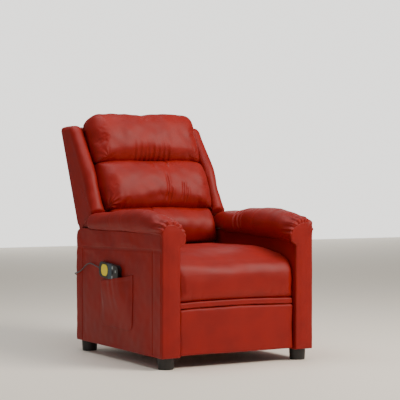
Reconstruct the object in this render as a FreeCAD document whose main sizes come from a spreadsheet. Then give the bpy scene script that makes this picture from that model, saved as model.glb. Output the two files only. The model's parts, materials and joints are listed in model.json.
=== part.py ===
import FreeCAD, Part
import math
import os
import Sketcher

# Push-back massage chair. Millimetres, +Z up, the sitter faces -Y, +X is the right-hand side seen
# from the front. The origin is on the floor, under the middle of the chair.

os.makedirs("parts", exist_ok=True)
doc = FreeCAD.newDocument("MassageChair")
V = FreeCAD.Vector

DIMENSIONS = {
    # arms: one upholstered box each side, measured over the cover
    "panel_width": 715, "arm_thick": 85, "arm_front": 500, "arm_length": 791,
    "foot_height": 47, "arm_height": 493, "arm_corner": 40, "cover_thick": 5,
    "ply_thick": 18, "fit_gap": 0.3,
    # arm pads
    "pad_over": 11, "pad_lip": 26, "pad_nose": 11, "pad_rear_gap": 125, "pad_low": 30,
    "pad_rise": 58, "pad_crown": 88, "pad_nose_drop": 42, "pad_round": 20,
    # feet
    "foot_inset": 44, "foot_rear_inset": 41, "foot_top": 34, "foot_base": 31, "stud_radius": 4,
    "stud_long": 70, "stud_gap": 0.05,
    # seat box
    "rail_low": 215, "rail_high": 305, "rail_rear": 235, "band_low": 237, "band_high": 262,
    "band_thick": 30, "band_inset": 10, "seat_top": 463, "seat_rear": 98, "seat_round": 18,
    "spring_wire": 1.8, "spring_wave": 22, "seat_spring_count": 6, "back_spring_count": 5,
    # footrest linkage, one set each side
    "plate_thick": 3, "link_thick": 3.5, "link_half": 11, "layer_gap": 1, "rivet_radius": 4,
    "bolt_radius": 3, "open_pivot_gap": 0.5, "head_radius": 7, "head_thick": 1.6,
    "drive_y": -300, "drive_z": 255, "drive_long": 180, "drive_start": -70, "tail_long": 40,
    "idler_offset": 45, "rest_pivot_y": -435, "rest_pivot_z": 215, "torque_at": 60,
    "torque_radius": 9,
    # footrest panel
    "rest_low": 52, "rest_high": 234.5, "rest_inset": 8, "rest_pad": 21.5, "rest_side_gap": 4.5,
    # back, measured in its own frame: rear_* away from the hinge to the rear, up_* along the back
    "hinge_y": 150, "hinge_z": 360, "back_lean": 23, "hinge_pin": 6, "pin_gap": 0.05,
    "back_half": 272, "lumbar_half": 243, "wing_half": 337, "rear_skin": 84, "skin_thick": 7.7,
    "cushion_back": 14, "back_top": 697, "post_front": 26, "post_rear": 68, "post_half": 244,
    # massage motors
    "can_radius": 14, "can_long": 38, "shaft_radius": 2, "weight_radius": 13, "weight_thick": 10,
    "motor_x": 105, "seat_motor_y": -180, "back_motor_up": 190,
    # hand control and side pocket
    "remote_long": 178, "remote_wide": 64, "remote_thick": 21, "remote_y": -71, "remote_z": 369,
    "remote_tilt": 5, "shell_wall": 2, "button_travel": 1.2, "button_gap": 0.25,
    "pocket_front": -260, "pocket_rear": 34, "pocket_low": 134, "pocket_slack": 1.2,
    "pocket_wall": 1.8,
    # hand control lead
    "lead_radius": 2.5,
}

sheet = doc.addObject("Spreadsheet::Sheet", "Sizes")
for row, (alias, number) in enumerate(DIMENSIONS.items(), start=1):
    sheet.set(f"A{row}", alias)
    sheet.set(f"B{row}", str(number))
    sheet.setAlias(f"B{row}", alias)
doc.recompute()


class Size:
    """A length that knows both its number and how the sheet writes it."""

    def __init__(self, number, text=None):
        self.number = float(number)
        self.text = text or (f"{number:g}" if number >= 0 else f"(0 - {-number:g})")

    def __float__(self):
        return self.number

    def __int__(self):
        return int(self.number)

    def __add__(self, other):
        other = size(other)
        return Size(self.number + other.number, f"({self.text} + {other.text})")

    def __sub__(self, other):
        other = size(other)
        return Size(self.number - other.number, f"({self.text} - {other.text})")

    def __mul__(self, other):
        other = size(other)
        return Size(self.number * other.number, f"({self.text} * {other.text})")

    def __truediv__(self, other):
        other = size(other)
        return Size(self.number / other.number, f"({self.text} / {other.text})")

    def __neg__(self):
        return Size(-self.number, f"(0 - {self.text})")

    __radd__ = lambda self, other: size(other) + self
    __rsub__ = lambda self, other: size(other) - self
    __rmul__ = lambda self, other: size(other) * self


def size(value):
    return value if isinstance(value, Size) else Size(value)


def cos(angle):
    return Size(math.cos(math.radians(float(angle))), f"cos({size(angle).text})")


def sin(angle):
    return Size(math.sin(math.radians(float(angle))), f"sin({size(angle).text})")


class Sheet:
    """The sheet's cells by name, as Size values."""

    def __getattr__(self, alias):
        return Size(sheet.get(alias), f"Sizes.{alias}")


s = Sheet()
parts = {}


def keep(item, label):
    """Make an object a sub-part under its own label."""
    item.Label = label
    parts[label] = item
    return item


def bind(item, prop, value):
    item.setExpression(prop, size(value).text)


def place(item, at, axis=None, angle=0):
    """Put an object at a point, turned about one axis through that point."""
    turn = FreeCAD.Rotation(axis, float(angle)) if axis is not None else FreeCAD.Rotation()
    item.Placement = FreeCAD.Placement(V(*[float(c) for c in at]), turn)
    for letter, value in zip("xyz", at):
        bind(item, f"Placement.Base.{letter}", value)
    if axis is not None:
        bind(item, "Placement.Rotation.Angle", angle)


def arc_radius(chord, bulge):
    return math.hypot(chord / 2, abs(bulge)) ** 2 / (2 * abs(bulge))


def draw(body, name, plane, offset, outline=(), circles=()):
    """A sketch on one of the body's planes. Outline points are (u, v) or (u, v, bulge) anticlockwise;
    a bulge bows the side that follows it outwards. Circles are (u, v, radius)."""
    sketch = body.newObject("Sketcher::SketchObject", name)
    support = next(o for o in body.Origin.OriginFeatures if o.Role == plane)
    sketch.AttachmentSupport = [(support, "")]
    sketch.MapMode = "FlatFace"
    sketch.AttachmentOffset = FreeCAD.Placement(V(0, 0, float(offset)), FreeCAD.Rotation())
    bind(sketch, "AttachmentOffset.Base.z", offset)

    def fix(kind, *where, value):
        constraint = sketch.addConstraint(Sketcher.Constraint(kind, *where, float(value)))
        bind(sketch, f"Constraints[{constraint}]", value)

    corners = [V(float(p[0]), float(p[1]), 0) for p in outline]
    count = len(corners)
    for i, point in enumerate(outline):
        a, b = corners[i], corners[(i + 1) % count]
        bulge = float(point[2]) if len(point) > 2 else 0
        if bulge:
            along = b - a
            out = V(along.y, -along.x, 0).normalize()
            middle = (a + b) * 0.5 + out * bulge
            sketch.addGeometry(Part.Arc(a, middle, b), False)
            fix("Radius", i, value=arc_radius(along.Length, bulge))
        else:
            sketch.addGeometry(Part.LineSegment(a, b), False)
    for i in range(count):
        sketch.addConstraint(Sketcher.Constraint("Coincident", i, 2, (i + 1) % count, 1))
    for i, point in enumerate(outline):
        fix("DistanceX", -1, 1, i, 1, value=point[0])
        fix("DistanceY", -1, 1, i, 1, value=point[1])
    for i, (u, v, radius) in enumerate(circles, start=count):
        circle = Part.Circle(V(float(u), float(v), 0), V(0, 0, 1), float(radius))
        sketch.addGeometry(circle, False)
        fix("DistanceX", -1, 1, i, 3, value=u)
        fix("DistanceY", -1, 1, i, 3, value=v)
        fix("Radius", i, value=radius)
    return sketch


def new_body(label):
    return doc.addObject("PartDesign::Body", label)


def pad(body, sketch, length, reverse=False):
    feature = body.newObject("PartDesign::Pad", sketch.Name + "Pad")
    feature.Profile = sketch
    bind(feature, "Length", length)
    feature.Reversed = reverse
    doc.recompute()
    return feature


def pocket(body, sketch, depth, forward=True):
    """Cut a sketch into the body, along the plane's normal when forward."""
    before = body.Shape.Volume
    feature = body.newObject("PartDesign::Pocket", sketch.Name + "Pocket")
    feature.Profile = sketch
    bind(feature, "Length", depth)
    feature.Reversed = forward
    doc.recompute()
    if not body.Shape.Volume < before - 1e-6:
        raise RuntimeError(f"{feature.Name} cuts nothing")
    return feature


def soften(body, feature, radius, wanted):
    """Round the edges of the last feature that wanted(edge) picks."""
    edges = [f"Edge{i}" for i, e in enumerate(feature.Shape.Edges, start=1) if wanted(e)]
    fillet = body.newObject("PartDesign::Fillet", body.Name + "Round")
    fillet.Base = (feature, edges)
    bind(fillet, "Radius", radius)
    doc.recompute()
    return fillet


def ends(edge):
    return [v.Point for v in edge.Vertexes]


def is_along(edge, axis):
    """True for a straight edge parallel to an axis."""
    return len(edge.Vertexes) == 2 and edge.Curve.TypeId == "Part::GeomLine" and (
        abs(abs((ends(edge)[1] - ends(edge)[0]).normalize().dot(axis)) - 1) < 1e-6
    )


def on_plane(edge, axis, at):
    return all(abs(p.dot(axis) - float(at)) < 1e-4 for p in ends(edge))


def prism(label, plane, start, outline, length, holes=(), at=None, angle=0, rounds=(), reverse=False):
    """A body padded from one outline, with round holes right through and rounded corners.
    rounds holds (radius, test) pairs, where the test picks edges."""
    body = new_body(label)
    last = pad(body, draw(body, label + "_outline", plane, start, outline), length, reverse)
    if holes:
        pocket(body, draw(body, label + "_holes", plane, start, circles=holes), length, not reverse)
        last = body.Tip
    for radius, wanted in rounds:
        last = soften(body, last, radius, wanted)
    if at is not None:
        place(body, at, V(1, 0, 0), angle)
    return keep(body, label)


def block(name, x, y, z):
    """A plain box between pairs of limits."""
    box = doc.addObject("Part::Box", name)
    for prop, (low, high) in zip(("Length", "Width", "Height"), (x, y, z)):
        bind(box, prop, size(high) - low)
    place(box, (x[0], y[0], z[0]))
    return box


def rod(name, at, direction, radius, length):
    """A cylinder from a point along +X, +Y or +Z."""
    cylinder = doc.addObject("Part::Cylinder", name)
    bind(cylinder, "Radius", radius)
    bind(cylinder, "Height", length)
    if direction == "x":
        place(cylinder, at, V(0, 1, 0), 90)
    elif direction == "y":
        place(cylinder, at, V(1, 0, 0), -90)
    else:
        place(cylinder, at)
    return cylinder


def join(name, pieces):
    fuse = doc.addObject("Part::MultiFuse", name)
    fuse.Shapes = pieces
    return fuse


def cut(name, base, tool):
    piece = doc.addObject("Part::Cut", name)
    piece.Base, piece.Tool = base, tool
    return piece


def group(label, members):
    """Separate solids that share one node."""
    compound = doc.addObject("Part::Compound", label + "_set")
    compound.Links = members
    return keep(compound, label)


def feature(label, shape):
    item = doc.addObject("Part::Feature", label)
    item.Shape = shape
    return keep(item, label)


def rectangle(u_low, u_high, v_low, v_high):
    return [(u_low, v_low), (u_high, v_low), (u_high, v_high), (u_low, v_high)]


def rounded_rectangle(u_low, u_high, v_low, v_high, radius):
    """A rectangle whose corners are quarter circles."""
    bow = float(radius) * (1 - math.cos(math.pi / 4))
    return [(u_low + radius, v_low), (u_high - radius, v_low, bow), (u_high, v_low + radius),
            (u_high, v_high - radius, bow), (u_high - radius, v_high), (u_low + radius, v_high, bow),
            (u_low, v_high - radius), (u_low, v_low + radius, bow)]


def span(side, inner, outer):
    """The lower x and the width of a strip between two half-widths on one side of the chair."""
    low = size(inner) if side > 0 else -size(outer)
    return low, size(outer) - inner


SIDES = (("left", -1), ("right", 1))
half = s.panel_width / 2
inner = half - s.arm_thick
arm_rear = s.arm_length - s.arm_front
arm_top = s.foot_height + s.arm_height


# arms: a leather-covered box round a plywood frame, with a padded top
def arm_outline(margin, low):
    """The arm's side view, taken in by a margin, with its rear top corner rounded."""
    radius = s.arm_corner - margin
    rear, top = arm_rear - margin, arm_top - margin
    bow = float(radius) * (1 - math.cos(math.pi / 4))
    return [(-s.arm_front + margin, low), (rear, low), (rear, top - radius, bow), (rear - radius, top),
            (-s.arm_front + margin, top)]


def arm_cover(name, side):
    label = f"arm_cover_{name}"
    start, width = span(side, inner, half)
    body = new_body(label)
    pad(body, draw(body, label + "_outline", "YZ_Plane", start, arm_outline(0, s.foot_height)), width)
    hollow = draw(body, label + "_hollow", "YZ_Plane", start + s.cover_thick,
                  arm_outline(s.cover_thick, s.foot_height - 1))
    pocket(body, hollow, width - 2 * s.cover_thick)
    keep(body, label)


def arm_frame(name, side):
    label = f"arm_frame_{name}"
    margin = s.cover_thick + s.fit_gap
    start, width = span(side, inner + margin, half - margin)
    body = new_body(label)
    outline = draw(body, label + "_outline", "YZ_Plane", start, arm_outline(margin, s.foot_height))
    pad(body, outline, width)
    post, low_rail, top_rail = 60, 55, 50
    front = -s.arm_front + margin + post
    rear = arm_rear - margin - post
    middle = (front + rear) / 2
    low, high = s.foot_height + low_rail, arm_top - margin - top_rail
    for number, (y_low, y_high) in enumerate(((front, middle - post / 2), (middle + post / 2, rear))):
        window = draw(body, f"{label}_window{number}", "YZ_Plane", start,
                      rectangle(y_low, y_high, low, high))
        pocket(body, window, width)
    studs = [(side * (half - s.foot_inset), y, s.stud_radius + s.stud_gap) for y in foot_places()]
    holes = draw(body, label + "_stud_holes", "XY_Plane", s.foot_height, circles=studs)
    pocket(body, holes, s.stud_long - 25)
    keep(body, label)


def foot_places():
    return (-s.arm_front + s.foot_inset, arm_rear - s.foot_rear_inset)


def arm_pad(name, side):
    """Crowned pad: it overhangs the outside, drapes over the inside and folds down over the front."""
    label = f"arm_pad_{name}"
    low, high = arm_top - s.pad_low, arm_top + s.pad_rise
    front, rear = -s.arm_front - s.pad_nose, arm_rear - s.pad_rear_gap
    nose_low = arm_top - s.pad_nose_drop
    start, width = span(side, inner - s.pad_lip, half + s.pad_over)
    top_rise = s.pad_crown - s.pad_rise
    body = new_body(label)
    outline = [(front, nose_low), (-s.arm_front - s.fit_gap, nose_low), (-s.arm_front - s.fit_gap, low),
               (rear, low), (rear, high - 14, 4), (rear - 60, high + 12, top_rise * 0.55),
               (front + 20, high + 2, 6)]
    last = pad(body, draw(body, label + "_outline", "YZ_Plane", start, outline), width)
    over_start, over = span(side, inner - s.fit_gap, half + s.pad_over + 1)
    box = rectangle(-s.arm_front - s.fit_gap, rear + 1, nose_low - 1, arm_top + s.fit_gap)
    last = pocket(body, draw(body, label + "_seat", "YZ_Plane", over_start, box), over)
    outer_x, lip_x = side * float(half + s.pad_over), side * float(inner - s.pad_lip)
    level = float(arm_top) + 5

    def top_rim(edge):
        flat = on_plane(edge, V(1, 0, 0), outer_x) or on_plane(edge, V(1, 0, 0), lip_x)
        return flat and min(p.z for p in ends(edge)) > level

    soften(body, last, s.pad_round, top_rim)
    keep(body, label)


def foot(name, side, y, end):
    """Turned plastic foot with a collar under the arm."""
    label = f"foot_{end}_{name}"
    body = new_body(label)
    profile = [(0, 0), (s.foot_base, 0), (s.foot_base + 1, 3), (s.foot_top, s.foot_height - 8),
               (s.foot_top, s.foot_height - s.fit_gap), (0, s.foot_height - s.fit_gap)]
    sketch = draw(body, label + "_profile", "YZ_Plane", 0, profile)
    turned = body.newObject("PartDesign::Revolution", label + "_turned")
    turned.Profile = sketch
    turned.ReferenceAxis = (sketch, ["V_Axis"])
    turned.Angle = 360
    doc.recompute()
    bore = draw(body, label + "_bore", "XY_Plane", s.foot_height - s.fit_gap,
                circles=[(0, 0, s.stud_radius + s.stud_gap)])
    pocket(body, bore, 25, forward=False)
    place(body, (side * (half - s.foot_inset), y, 0))
    keep(body, label)
    return rod(f"stud_{end}_{name}", (side * (half - s.foot_inset), y, s.foot_height - 24), "z",
               s.stud_radius, s.stud_long - 3)


studs = []
for name, side in SIDES:
    arm_cover(name, side)
    arm_frame(name, side)
    arm_pad(name, side)
    for end, y in zip(("front", "rear"), foot_places()):
        studs.append(foot(name, side, y, end))
group("foot_studs", studs)

# base and seat box
inside = inner - s.fit_gap
rail_inner = inside - s.ply_thick
base_low, base_high, base_front, base_rear = 55, 140, -120, 255
group("base_rails", [
    block("base_rail_front", (-inside, inside), (base_front, base_front + s.ply_thick),
          (base_low, base_high)),
    block("base_rail_rear", (-inside, inside), (base_rear, base_rear + s.ply_thick), (base_low, base_high)),
])
panel_front = base_rear + s.ply_thick + s.fit_gap
REAR_TOP, HOLE_ROUND = 328, 6
gland_x, gland_z, inlet_x, inlet_z = -120, 235, 150, 190
prism("rear_panel", "XZ_Plane", -panel_front, rectangle(-inside, inside, base_low, REAR_TOP), 9,
      holes=[(gland_x, gland_z, HOLE_ROUND + s.fit_gap), (inlet_x, inlet_z, HOLE_ROUND + s.fit_gap)],
      reverse=True)

rail_front = -s.arm_front + 60
bolt_places = [(s.drive_y - 30, s.rail_high - 23), (s.drive_y + 68, s.rail_high - 23)]
bolt_holes = [(y, z, s.bolt_radius + s.stud_gap) for y, z in bolt_places]
side_rails = []
for name, side in SIDES:
    start, width = span(side, rail_inner, inside)
    outline = [(rail_front, s.rail_low), (s.rail_rear, s.rail_low), (s.rail_rear, s.rail_high - 25),
               (s.seat_rear + 2, s.rail_high - 25), (s.seat_rear + 2, s.rail_high),
               (rail_front, s.rail_high)]
    body = prism(f"seat_rail_{name}", "YZ_Plane", start, outline, width, holes=bolt_holes)
    parts.pop(f"seat_rail_{name}")
    side_rails.append(body)
group("seat_side_rails", side_rails)

slat_low, slat_high = 238, 250
slat_front = s.seat_motor_y - 32
group("seat_cross_rails", [
    block("seat_rail_front", (-inside, inside),
          (rail_front - s.ply_thick - s.fit_gap, rail_front - s.fit_gap),
          (s.band_low + 3, s.rail_high)),
    block("seat_slat", (-(rail_inner - s.fit_gap), rail_inner - s.fit_gap), (slat_front, slat_front + 64),
          (slat_low, slat_high)),
    block("seat_rail_rear", (-(rail_inner - s.fit_gap), rail_inner - s.fit_gap),
          (s.rail_rear - s.ply_thick, s.rail_rear), (s.rail_low, s.rail_high - 25)),
])


def zigzag(start, end, across, wave, count, radius):
    """A sinuous spring: wire that winds from side to side between two clips."""
    along = (end - start) * (1.0 / count)
    points = [start]
    for i in range(count):
        points.append(start + along * (i + 0.5) + across * (wave if i % 2 else -wave))
    points.append(end)
    edges, last = [], points[0]
    for before, corner, after in zip(points, points[1:], points[2:]):
        incoming, outgoing = (corner - before).normalize(), (after - corner).normalize()
        turn = incoming.getAngle(outgoing)
        bend = 0.45 * min((corner - before).Length, (after - corner).Length) / math.tan(turn / 2)
        reach = bend * math.tan(turn / 2)
        a, b = corner - incoming * reach, corner + outgoing * reach
        inward = (outgoing - incoming).normalize()
        middle = corner + inward * (bend / math.cos(turn / 2) - bend)
        edges += [Part.LineSegment(last, a).toShape(), Part.Arc(a, middle, b).toShape()]
        last = b
    edges.append(Part.LineSegment(last, points[-1]).toShape())
    return tube(edges, radius)


def tube(edges, radius):
    path = Part.Wire(edges)
    first = edges[0]
    direction = (first.Vertexes[-1].Point - first.Vertexes[0].Point).normalize()
    ring = Part.Wire(Part.Circle(first.Vertexes[0].Point, direction, radius).toShape())
    return path.makePipeShell([ring], True, False)


WAVES = 12
spring_z = float(s.rail_high) - float(s.spring_wire) - 6
anchor_front = s.rail_rear - s.ply_thick - 120
spring_end = 2.5
seat_springs = []
for number in range(int(s.seat_spring_count)):
    reach = float(rail_inner) - 45
    x = -reach + 2 * reach * number / (int(s.seat_spring_count) - 1)
    seat_springs.append(zigzag(V(x, float(rail_front) + spring_end, spring_z),
                               V(x, float(anchor_front) - spring_end, spring_z),
                               V(1, 0, 0), float(s.spring_wave), WAVES, float(s.spring_wire)))
feature("seat_springs", Part.makeCompound(seat_springs))
anchor_half = rail_inner - 6
keep(block("anchor_rail", (-anchor_half, anchor_half), (anchor_front, anchor_front + s.ply_thick),
           (s.rail_high - 40, s.rail_high)), "spring_anchor_rail")

seat_front = -s.arm_front + s.band_inset
band_back = seat_front + s.band_thick
prism("front_band", "YZ_Plane", -(inner - s.rest_side_gap),
      rectangle(seat_front, band_back, s.band_low, s.band_high), 2 * (inner - s.rest_side_gap),
      rounds=[(6, lambda e: is_along(e, V(1, 0, 0)) and abs(ends(e)[0].y - float(seat_front)) < 1e-4)])

seat_bottom = s.rail_high + 5
lip_back = rail_front - s.ply_thick - 2 * s.fit_gap
prism("seat_cushion", "YZ_Plane", -(inner - s.rest_side_gap),
      [(seat_front + 6, s.band_high + 2), (lip_back, s.band_high + 2), (lip_back, seat_bottom),
       (s.seat_rear - 3, seat_bottom), (s.seat_rear, s.seat_top, 10), (seat_front + 62, s.seat_top - 26, 8),
       (seat_front, s.band_high + 50, 3)],
      2 * (inner - s.rest_side_gap),
      rounds=[(s.seat_round, lambda e: on_plane(e, V(1, 0, 0), inner - s.rest_side_gap)
               and min(p.z for p in ends(e)) > float(s.seat_top) - 60 or
               on_plane(e, V(1, 0, 0), -(inner - s.rest_side_gap))
               and min(p.z for p in ends(e)) > float(s.seat_top) - 60)])


# footrest linkage: two equal parallelograms, so the panel turns as far as the drive link
class Point:
    """A pivot in the side view."""

    def __init__(self, y, z):
        self.y, self.z = size(y), size(z)

    def go(self, angle, distance):
        return Point(self.y + distance * cos(angle), self.z + distance * sin(angle))


drive = Point(s.drive_y, s.drive_z)
crank = drive.go(s.drive_start, s.drive_long)
tail = crank.go(s.drive_start, s.tail_long)
rest = Point(s.rest_pivot_y, s.rest_pivot_z)
run_y, run_z = rest.y - crank.y, rest.z - crank.z
run_long = Size(math.hypot(float(run_y), float(run_z)),
                f"sqrt({run_y.text} * {run_y.text} + {run_z.text} * {run_z.text})")
run_angle = Size(math.degrees(math.atan2(float(run_z), float(run_y))),
                 f"(180 - atan({run_z.text} / (0 - {run_y.text})) / 1 deg)")
back_angle = run_angle - 180
idler = drive.go(back_angle, s.idler_offset)
idler_end = crank.go(back_angle, s.idler_offset)
rest_tail = rest.go(s.drive_start, s.tail_long)
plate_outer = rail_inner - 0.5
plate_inner = plate_outer - s.plate_thick
layer1 = (plate_inner - s.layer_gap - s.link_thick, plate_inner - s.layer_gap)
layer2 = (layer1[0] - s.layer_gap - s.link_thick, layer1[0] - s.layer_gap)


def link(name, side, layer, pivot, angle, length, holes):
    """A flat bar with round ends, along +Y from its first pivot and then turned into place."""
    start, width = span(side, *layer)
    bar = prism(name, "YZ_Plane", start, rectangle(-s.link_half, length + s.link_half, -s.link_half,
                                                    s.link_half), width,
                holes=[(at, 0, radius) for at, radius in holes],
                at=(0, pivot.y, pivot.z), angle=angle,
                rounds=[(s.link_half - 0.2, lambda e: is_along(e, V(1, 0, 0)))])
    parts.pop(name)
    return bar


def rivet(name, side, inboard, outboard, pivot, head_inboard):
    """A pin through a link, with a head on the far side of it."""
    start, width = span(side, inboard, outboard)
    pin = rod(name, (start, pivot.y, pivot.z), "x", s.rivet_radius, width)
    edge = inboard if head_inboard else outboard - s.head_thick
    head_start, _ = span(side, edge, edge + s.head_thick)
    head = rod(name + "_head", (head_start, pivot.y, pivot.z), "x", s.head_radius, s.head_thick)
    return [pin, head]


fit = s.rivet_radius + s.stud_gap
loose = s.rivet_radius + s.open_pivot_gap
clear = 0.2
plates, bolts, drives, idlers, carriers, controls, brackets = [], [], [], [], [], [], []
for name, side in SIDES:
    start, width = span(side, plate_inner, plate_outer)
    plate = prism(f"plate_{name}", "YZ_Plane", start,
                  rectangle(drive.y - 40, drive.y + 80, s.rail_low - 6, s.rail_high - 12), width,
                  holes=bolt_holes, rounds=[(8, lambda e: is_along(e, V(1, 0, 0)))])
    parts.pop(f"plate_{name}")
    pins = rivet(f"drive_pin_{name}", side, layer1[0] - clear - s.head_thick, plate_inner, drive, True)
    pins += rivet(f"idler_pin_{name}", side, layer1[0] - clear - s.head_thick, plate_inner, idler, True)
    plates.append(join(f"mechanism_plate_{name}", [plate] + pins))
    for number, (y, z) in enumerate(bolt_places):
        start, width = span(side, plate_inner - clear, inside - 1)
        shank = rod(f"bolt_{name}_{number}", (start, y, z), "x", s.bolt_radius, width)
        start, width = span(side, plate_inner - clear - 3, plate_inner - clear)
        head = rod(f"bolt_head_{name}_{number}", (start, y, z), "x", 2 * s.bolt_radius, width)
        bolts.append(join(f"plate_bolt_{name}_{number}", [shank, head]))
    drives.append(link(f"drive_{name}", side, layer1, drive, s.drive_start, s.drive_long + s.tail_long,
                       [(0, fit), (s.drive_long, fit), (s.drive_long + s.tail_long, fit)]))
    idlers.append(link(f"idler_{name}", side, layer1, idler, s.drive_start, s.drive_long,
                       [(0, fit), (s.drive_long, loose)]))
    bar = link(f"carrier_bar_{name}", side, layer2, idler_end, run_angle, run_long + s.idler_offset, [])
    pins = rivet(f"crank_pin_{name}", side, layer2[1], layer1[1] + clear + s.head_thick, crank, False)
    pins += rivet(f"idler_end_pin_{name}", side, layer2[1], layer1[1] + clear + s.head_thick, idler_end,
                  False)
    pins += rivet(f"rest_pin_{name}", side, layer2[1], layer1[1] + clear + s.head_thick, rest, False)
    carriers.append(join(f"carrier_{name}", [bar] + pins))
    bar = link(f"control_bar_{name}", side, layer2, tail, run_angle, run_long, [])
    pins = rivet(f"tail_pin_{name}", side, layer2[1], layer1[1] + clear + s.head_thick, tail, False)
    pins += rivet(f"rest_tail_pin_{name}", side, layer2[1], layer1[1] + clear + s.head_thick, rest_tail,
                  False)
    controls.append(join(f"control_{name}", [bar] + pins))

rest_front = -s.arm_front + s.rest_inset
board_front = rest_front + s.rest_pad
board_back = board_front + s.ply_thick
for name, side in SIDES:
    start, width = span(side, *layer1)
    web = prism(f"bracket_web_{name}", "YZ_Plane", start,
                [(board_back + s.fit_gap, rest_tail.z - 16), (rest_tail.y + 10, rest_tail.z - 16),
                 (rest_tail.y + 12, rest_tail.z), (rest.y + 11, rest.z + 11),
                 (board_back + s.fit_gap, rest.z + 11)], width,
                holes=[(rest.y, rest.z, fit), (rest_tail.y, rest_tail.z, loose)])
    parts.pop(f"bracket_web_{name}")
    flange_start, flange = span(side, layer1[0] - 30, layer1[1])
    brackets.append(join(f"bracket_{name}", [
        web,
        block(f"bracket_flange_{name}", (flange_start, flange_start + flange),
              (board_back + s.fit_gap, board_back + s.fit_gap + 3), (rest_tail.z - 70, rest.z + 11)),
    ]))
group("mechanism_plates", plates)
group("mechanism_bolts", bolts)
group("drive_links", drives)
group("idler_links", idlers)
group("carrier_links", carriers)
group("control_links", controls)
group("footrest_brackets", brackets)
torque = drive.go(s.drive_start, s.torque_at)
keep(rod("torque_bar", (-layer1[0], torque.y, torque.z), "x", s.torque_radius, 2 * layer1[0]), "torque_tube")

rest_half = inner - s.rest_side_gap
prism("footrest_board", "YZ_Plane", -(rest_half - 6),
      rectangle(board_front, board_back, s.rest_low + 6, s.rest_high - 3), 2 * (rest_half - 6))
prism("footrest_pad", "YZ_Plane", -rest_half,
      rectangle(rest_front, board_front - s.fit_gap, s.rest_low, s.rest_high), 2 * rest_half,
      rounds=[(7, lambda e: on_plane(e, V(0, 1, 0), rest_front))])

# back: everything is drawn upright about the hinge and leans with it
HINGE = (0, s.hinge_y, s.hinge_z)
LEAN = -s.back_lean


def back_prism(label, start, outline, width, **options):
    return prism(label, "YZ_Plane", start, outline, width, at=HINGE, angle=LEAN, **options)


def back_block(label, x_low, x_high, rear_low, rear_high, up_low, up_high):
    body = back_prism(label, x_low, rectangle(rear_low, rear_high, up_low, up_high), size(x_high) - x_low)
    parts.pop(label)
    return body


post_inner = s.post_half - s.ply_thick
post_low, post_top = 42, s.back_top - 45
beam = post_inner - s.fit_gap
frame_pieces = []
for name, side in SIDES:
    start, width = span(side, post_inner, s.post_half)
    frame_pieces.append(back_block(f"post_{name}", start, start + width, s.post_front, s.post_rear,
                                   post_low, post_top))
for number, (up, tall, front) in enumerate(((post_low, 60, s.post_rear - 20),
                                            (s.back_motor_up - 45, 90, s.post_rear - 10),
                                            (post_top - 60, 60, s.post_front))):
    frame_pieces.append(back_block(f"beam_{number}", -beam, beam, front, s.post_rear, up, up + tall))
group("back_frame", frame_pieces)

brackets, arms = [], []
hinge_plate = 4
for name, side in SIDES:
    start, width = span(side, rail_inner - hinge_plate - 0.3, rail_inner - 0.3)
    plate = prism(f"bracket_plate_{name}", "YZ_Plane", start,
                  [(s.hinge_y - 60, s.rail_low + 10), (s.hinge_y + 60, s.rail_low + 10),
                   (s.hinge_y + 60, s.rail_high - 45), (s.hinge_y + 18, s.hinge_z + 15),
                   (s.hinge_y - 18, s.hinge_z + 15), (s.hinge_y - 60, s.rail_high - 45)], width)
    parts.pop(f"bracket_plate_{name}")
    head_out = s.post_half + s.fit_gap - clear
    start, width = span(side, head_out - 2, rail_inner - hinge_plate - 0.3)
    pin = rod(f"hinge_pin_{name}", (start, s.hinge_y, s.hinge_z), "x", s.hinge_pin, width)
    head_start, _ = span(side, head_out - 2, head_out)
    head = rod(f"hinge_head_{name}", (head_start, s.hinge_y, s.hinge_z), "x", s.hinge_pin + 4, 2)
    brackets.append(join(f"hinge_bracket_{name}", [plate, pin, head]))
    start, width = span(side, s.post_half + s.fit_gap, s.post_half + s.fit_gap + hinge_plate)
    arm = back_prism(f"hinge_arm_{name}", start,
                     [(-14, -14), (14, -14), (s.post_rear, 40), (s.post_rear, 190), (s.post_front, 190),
                      (s.post_front - 8, 60), (-14, 14)], width,
                     holes=[(0, 0, s.hinge_pin + s.pin_gap)])
    parts.pop(f"hinge_arm_{name}")
    arms.append(arm)
group("back_hinge_brackets", brackets)
group("back_hinge_arms", arms)

SHOULDER = 12


def front_rim(half_width):
    """Picks the bowed front edges at both ends of a cushion."""

    def wanted(edge):
        middle = edge.CenterOfMass
        bowed = edge.Curve.TypeId == "Part::GeomCircle"
        return bowed and abs(abs(middle.x) - float(half_width)) < 1e-4

    return wanted


def cushion(label, half_width, outline):
    back_prism(label, -half_width, outline, 2 * half_width, rounds=[(SHOULDER, front_rim(half_width))])


cushion("lumbar_cushion", s.lumbar_half,
        [(-85, 92), (s.cushion_back, 92), (s.cushion_back, 257), (-80, 257, 44)])
cushion("middle_cushion", s.back_half,
        [(-80, 259), (s.cushion_back, 259), (s.cushion_back, 491), (-56, 491, 56)])
cushion("head_cushion", s.back_half,
        [(-56, 493), (s.cushion_back, 493), (s.cushion_back, s.back_top), (-14, s.back_top + 26),
         (-58, s.back_top + 30), (-98, s.back_top - 10, 30)])
wing_inner = s.back_half + 1
for name, side in SIDES:
    start, width = span(side, wing_inner, s.wing_half)
    outer_x = side * float(s.wing_half)
    back_prism(f"wing_{name}", start,
               [(-86, 241), (-52, 226), (-20, 219), (20, 219), (s.rear_skin - s.fit_gap, 207),
                (s.rear_skin - s.fit_gap, s.back_top + 12), (s.rear_skin - 18, s.back_top + 20),
                (-5, s.back_top - 10), (-28, s.back_top - 56), (-77, 445)], width,
               rounds=[(8, lambda e: abs(e.CenterOfMass.x - outer_x) < 1e-4)])
skin = new_body("back_panel")
skin_low, skin_waist = 34, 232
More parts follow.
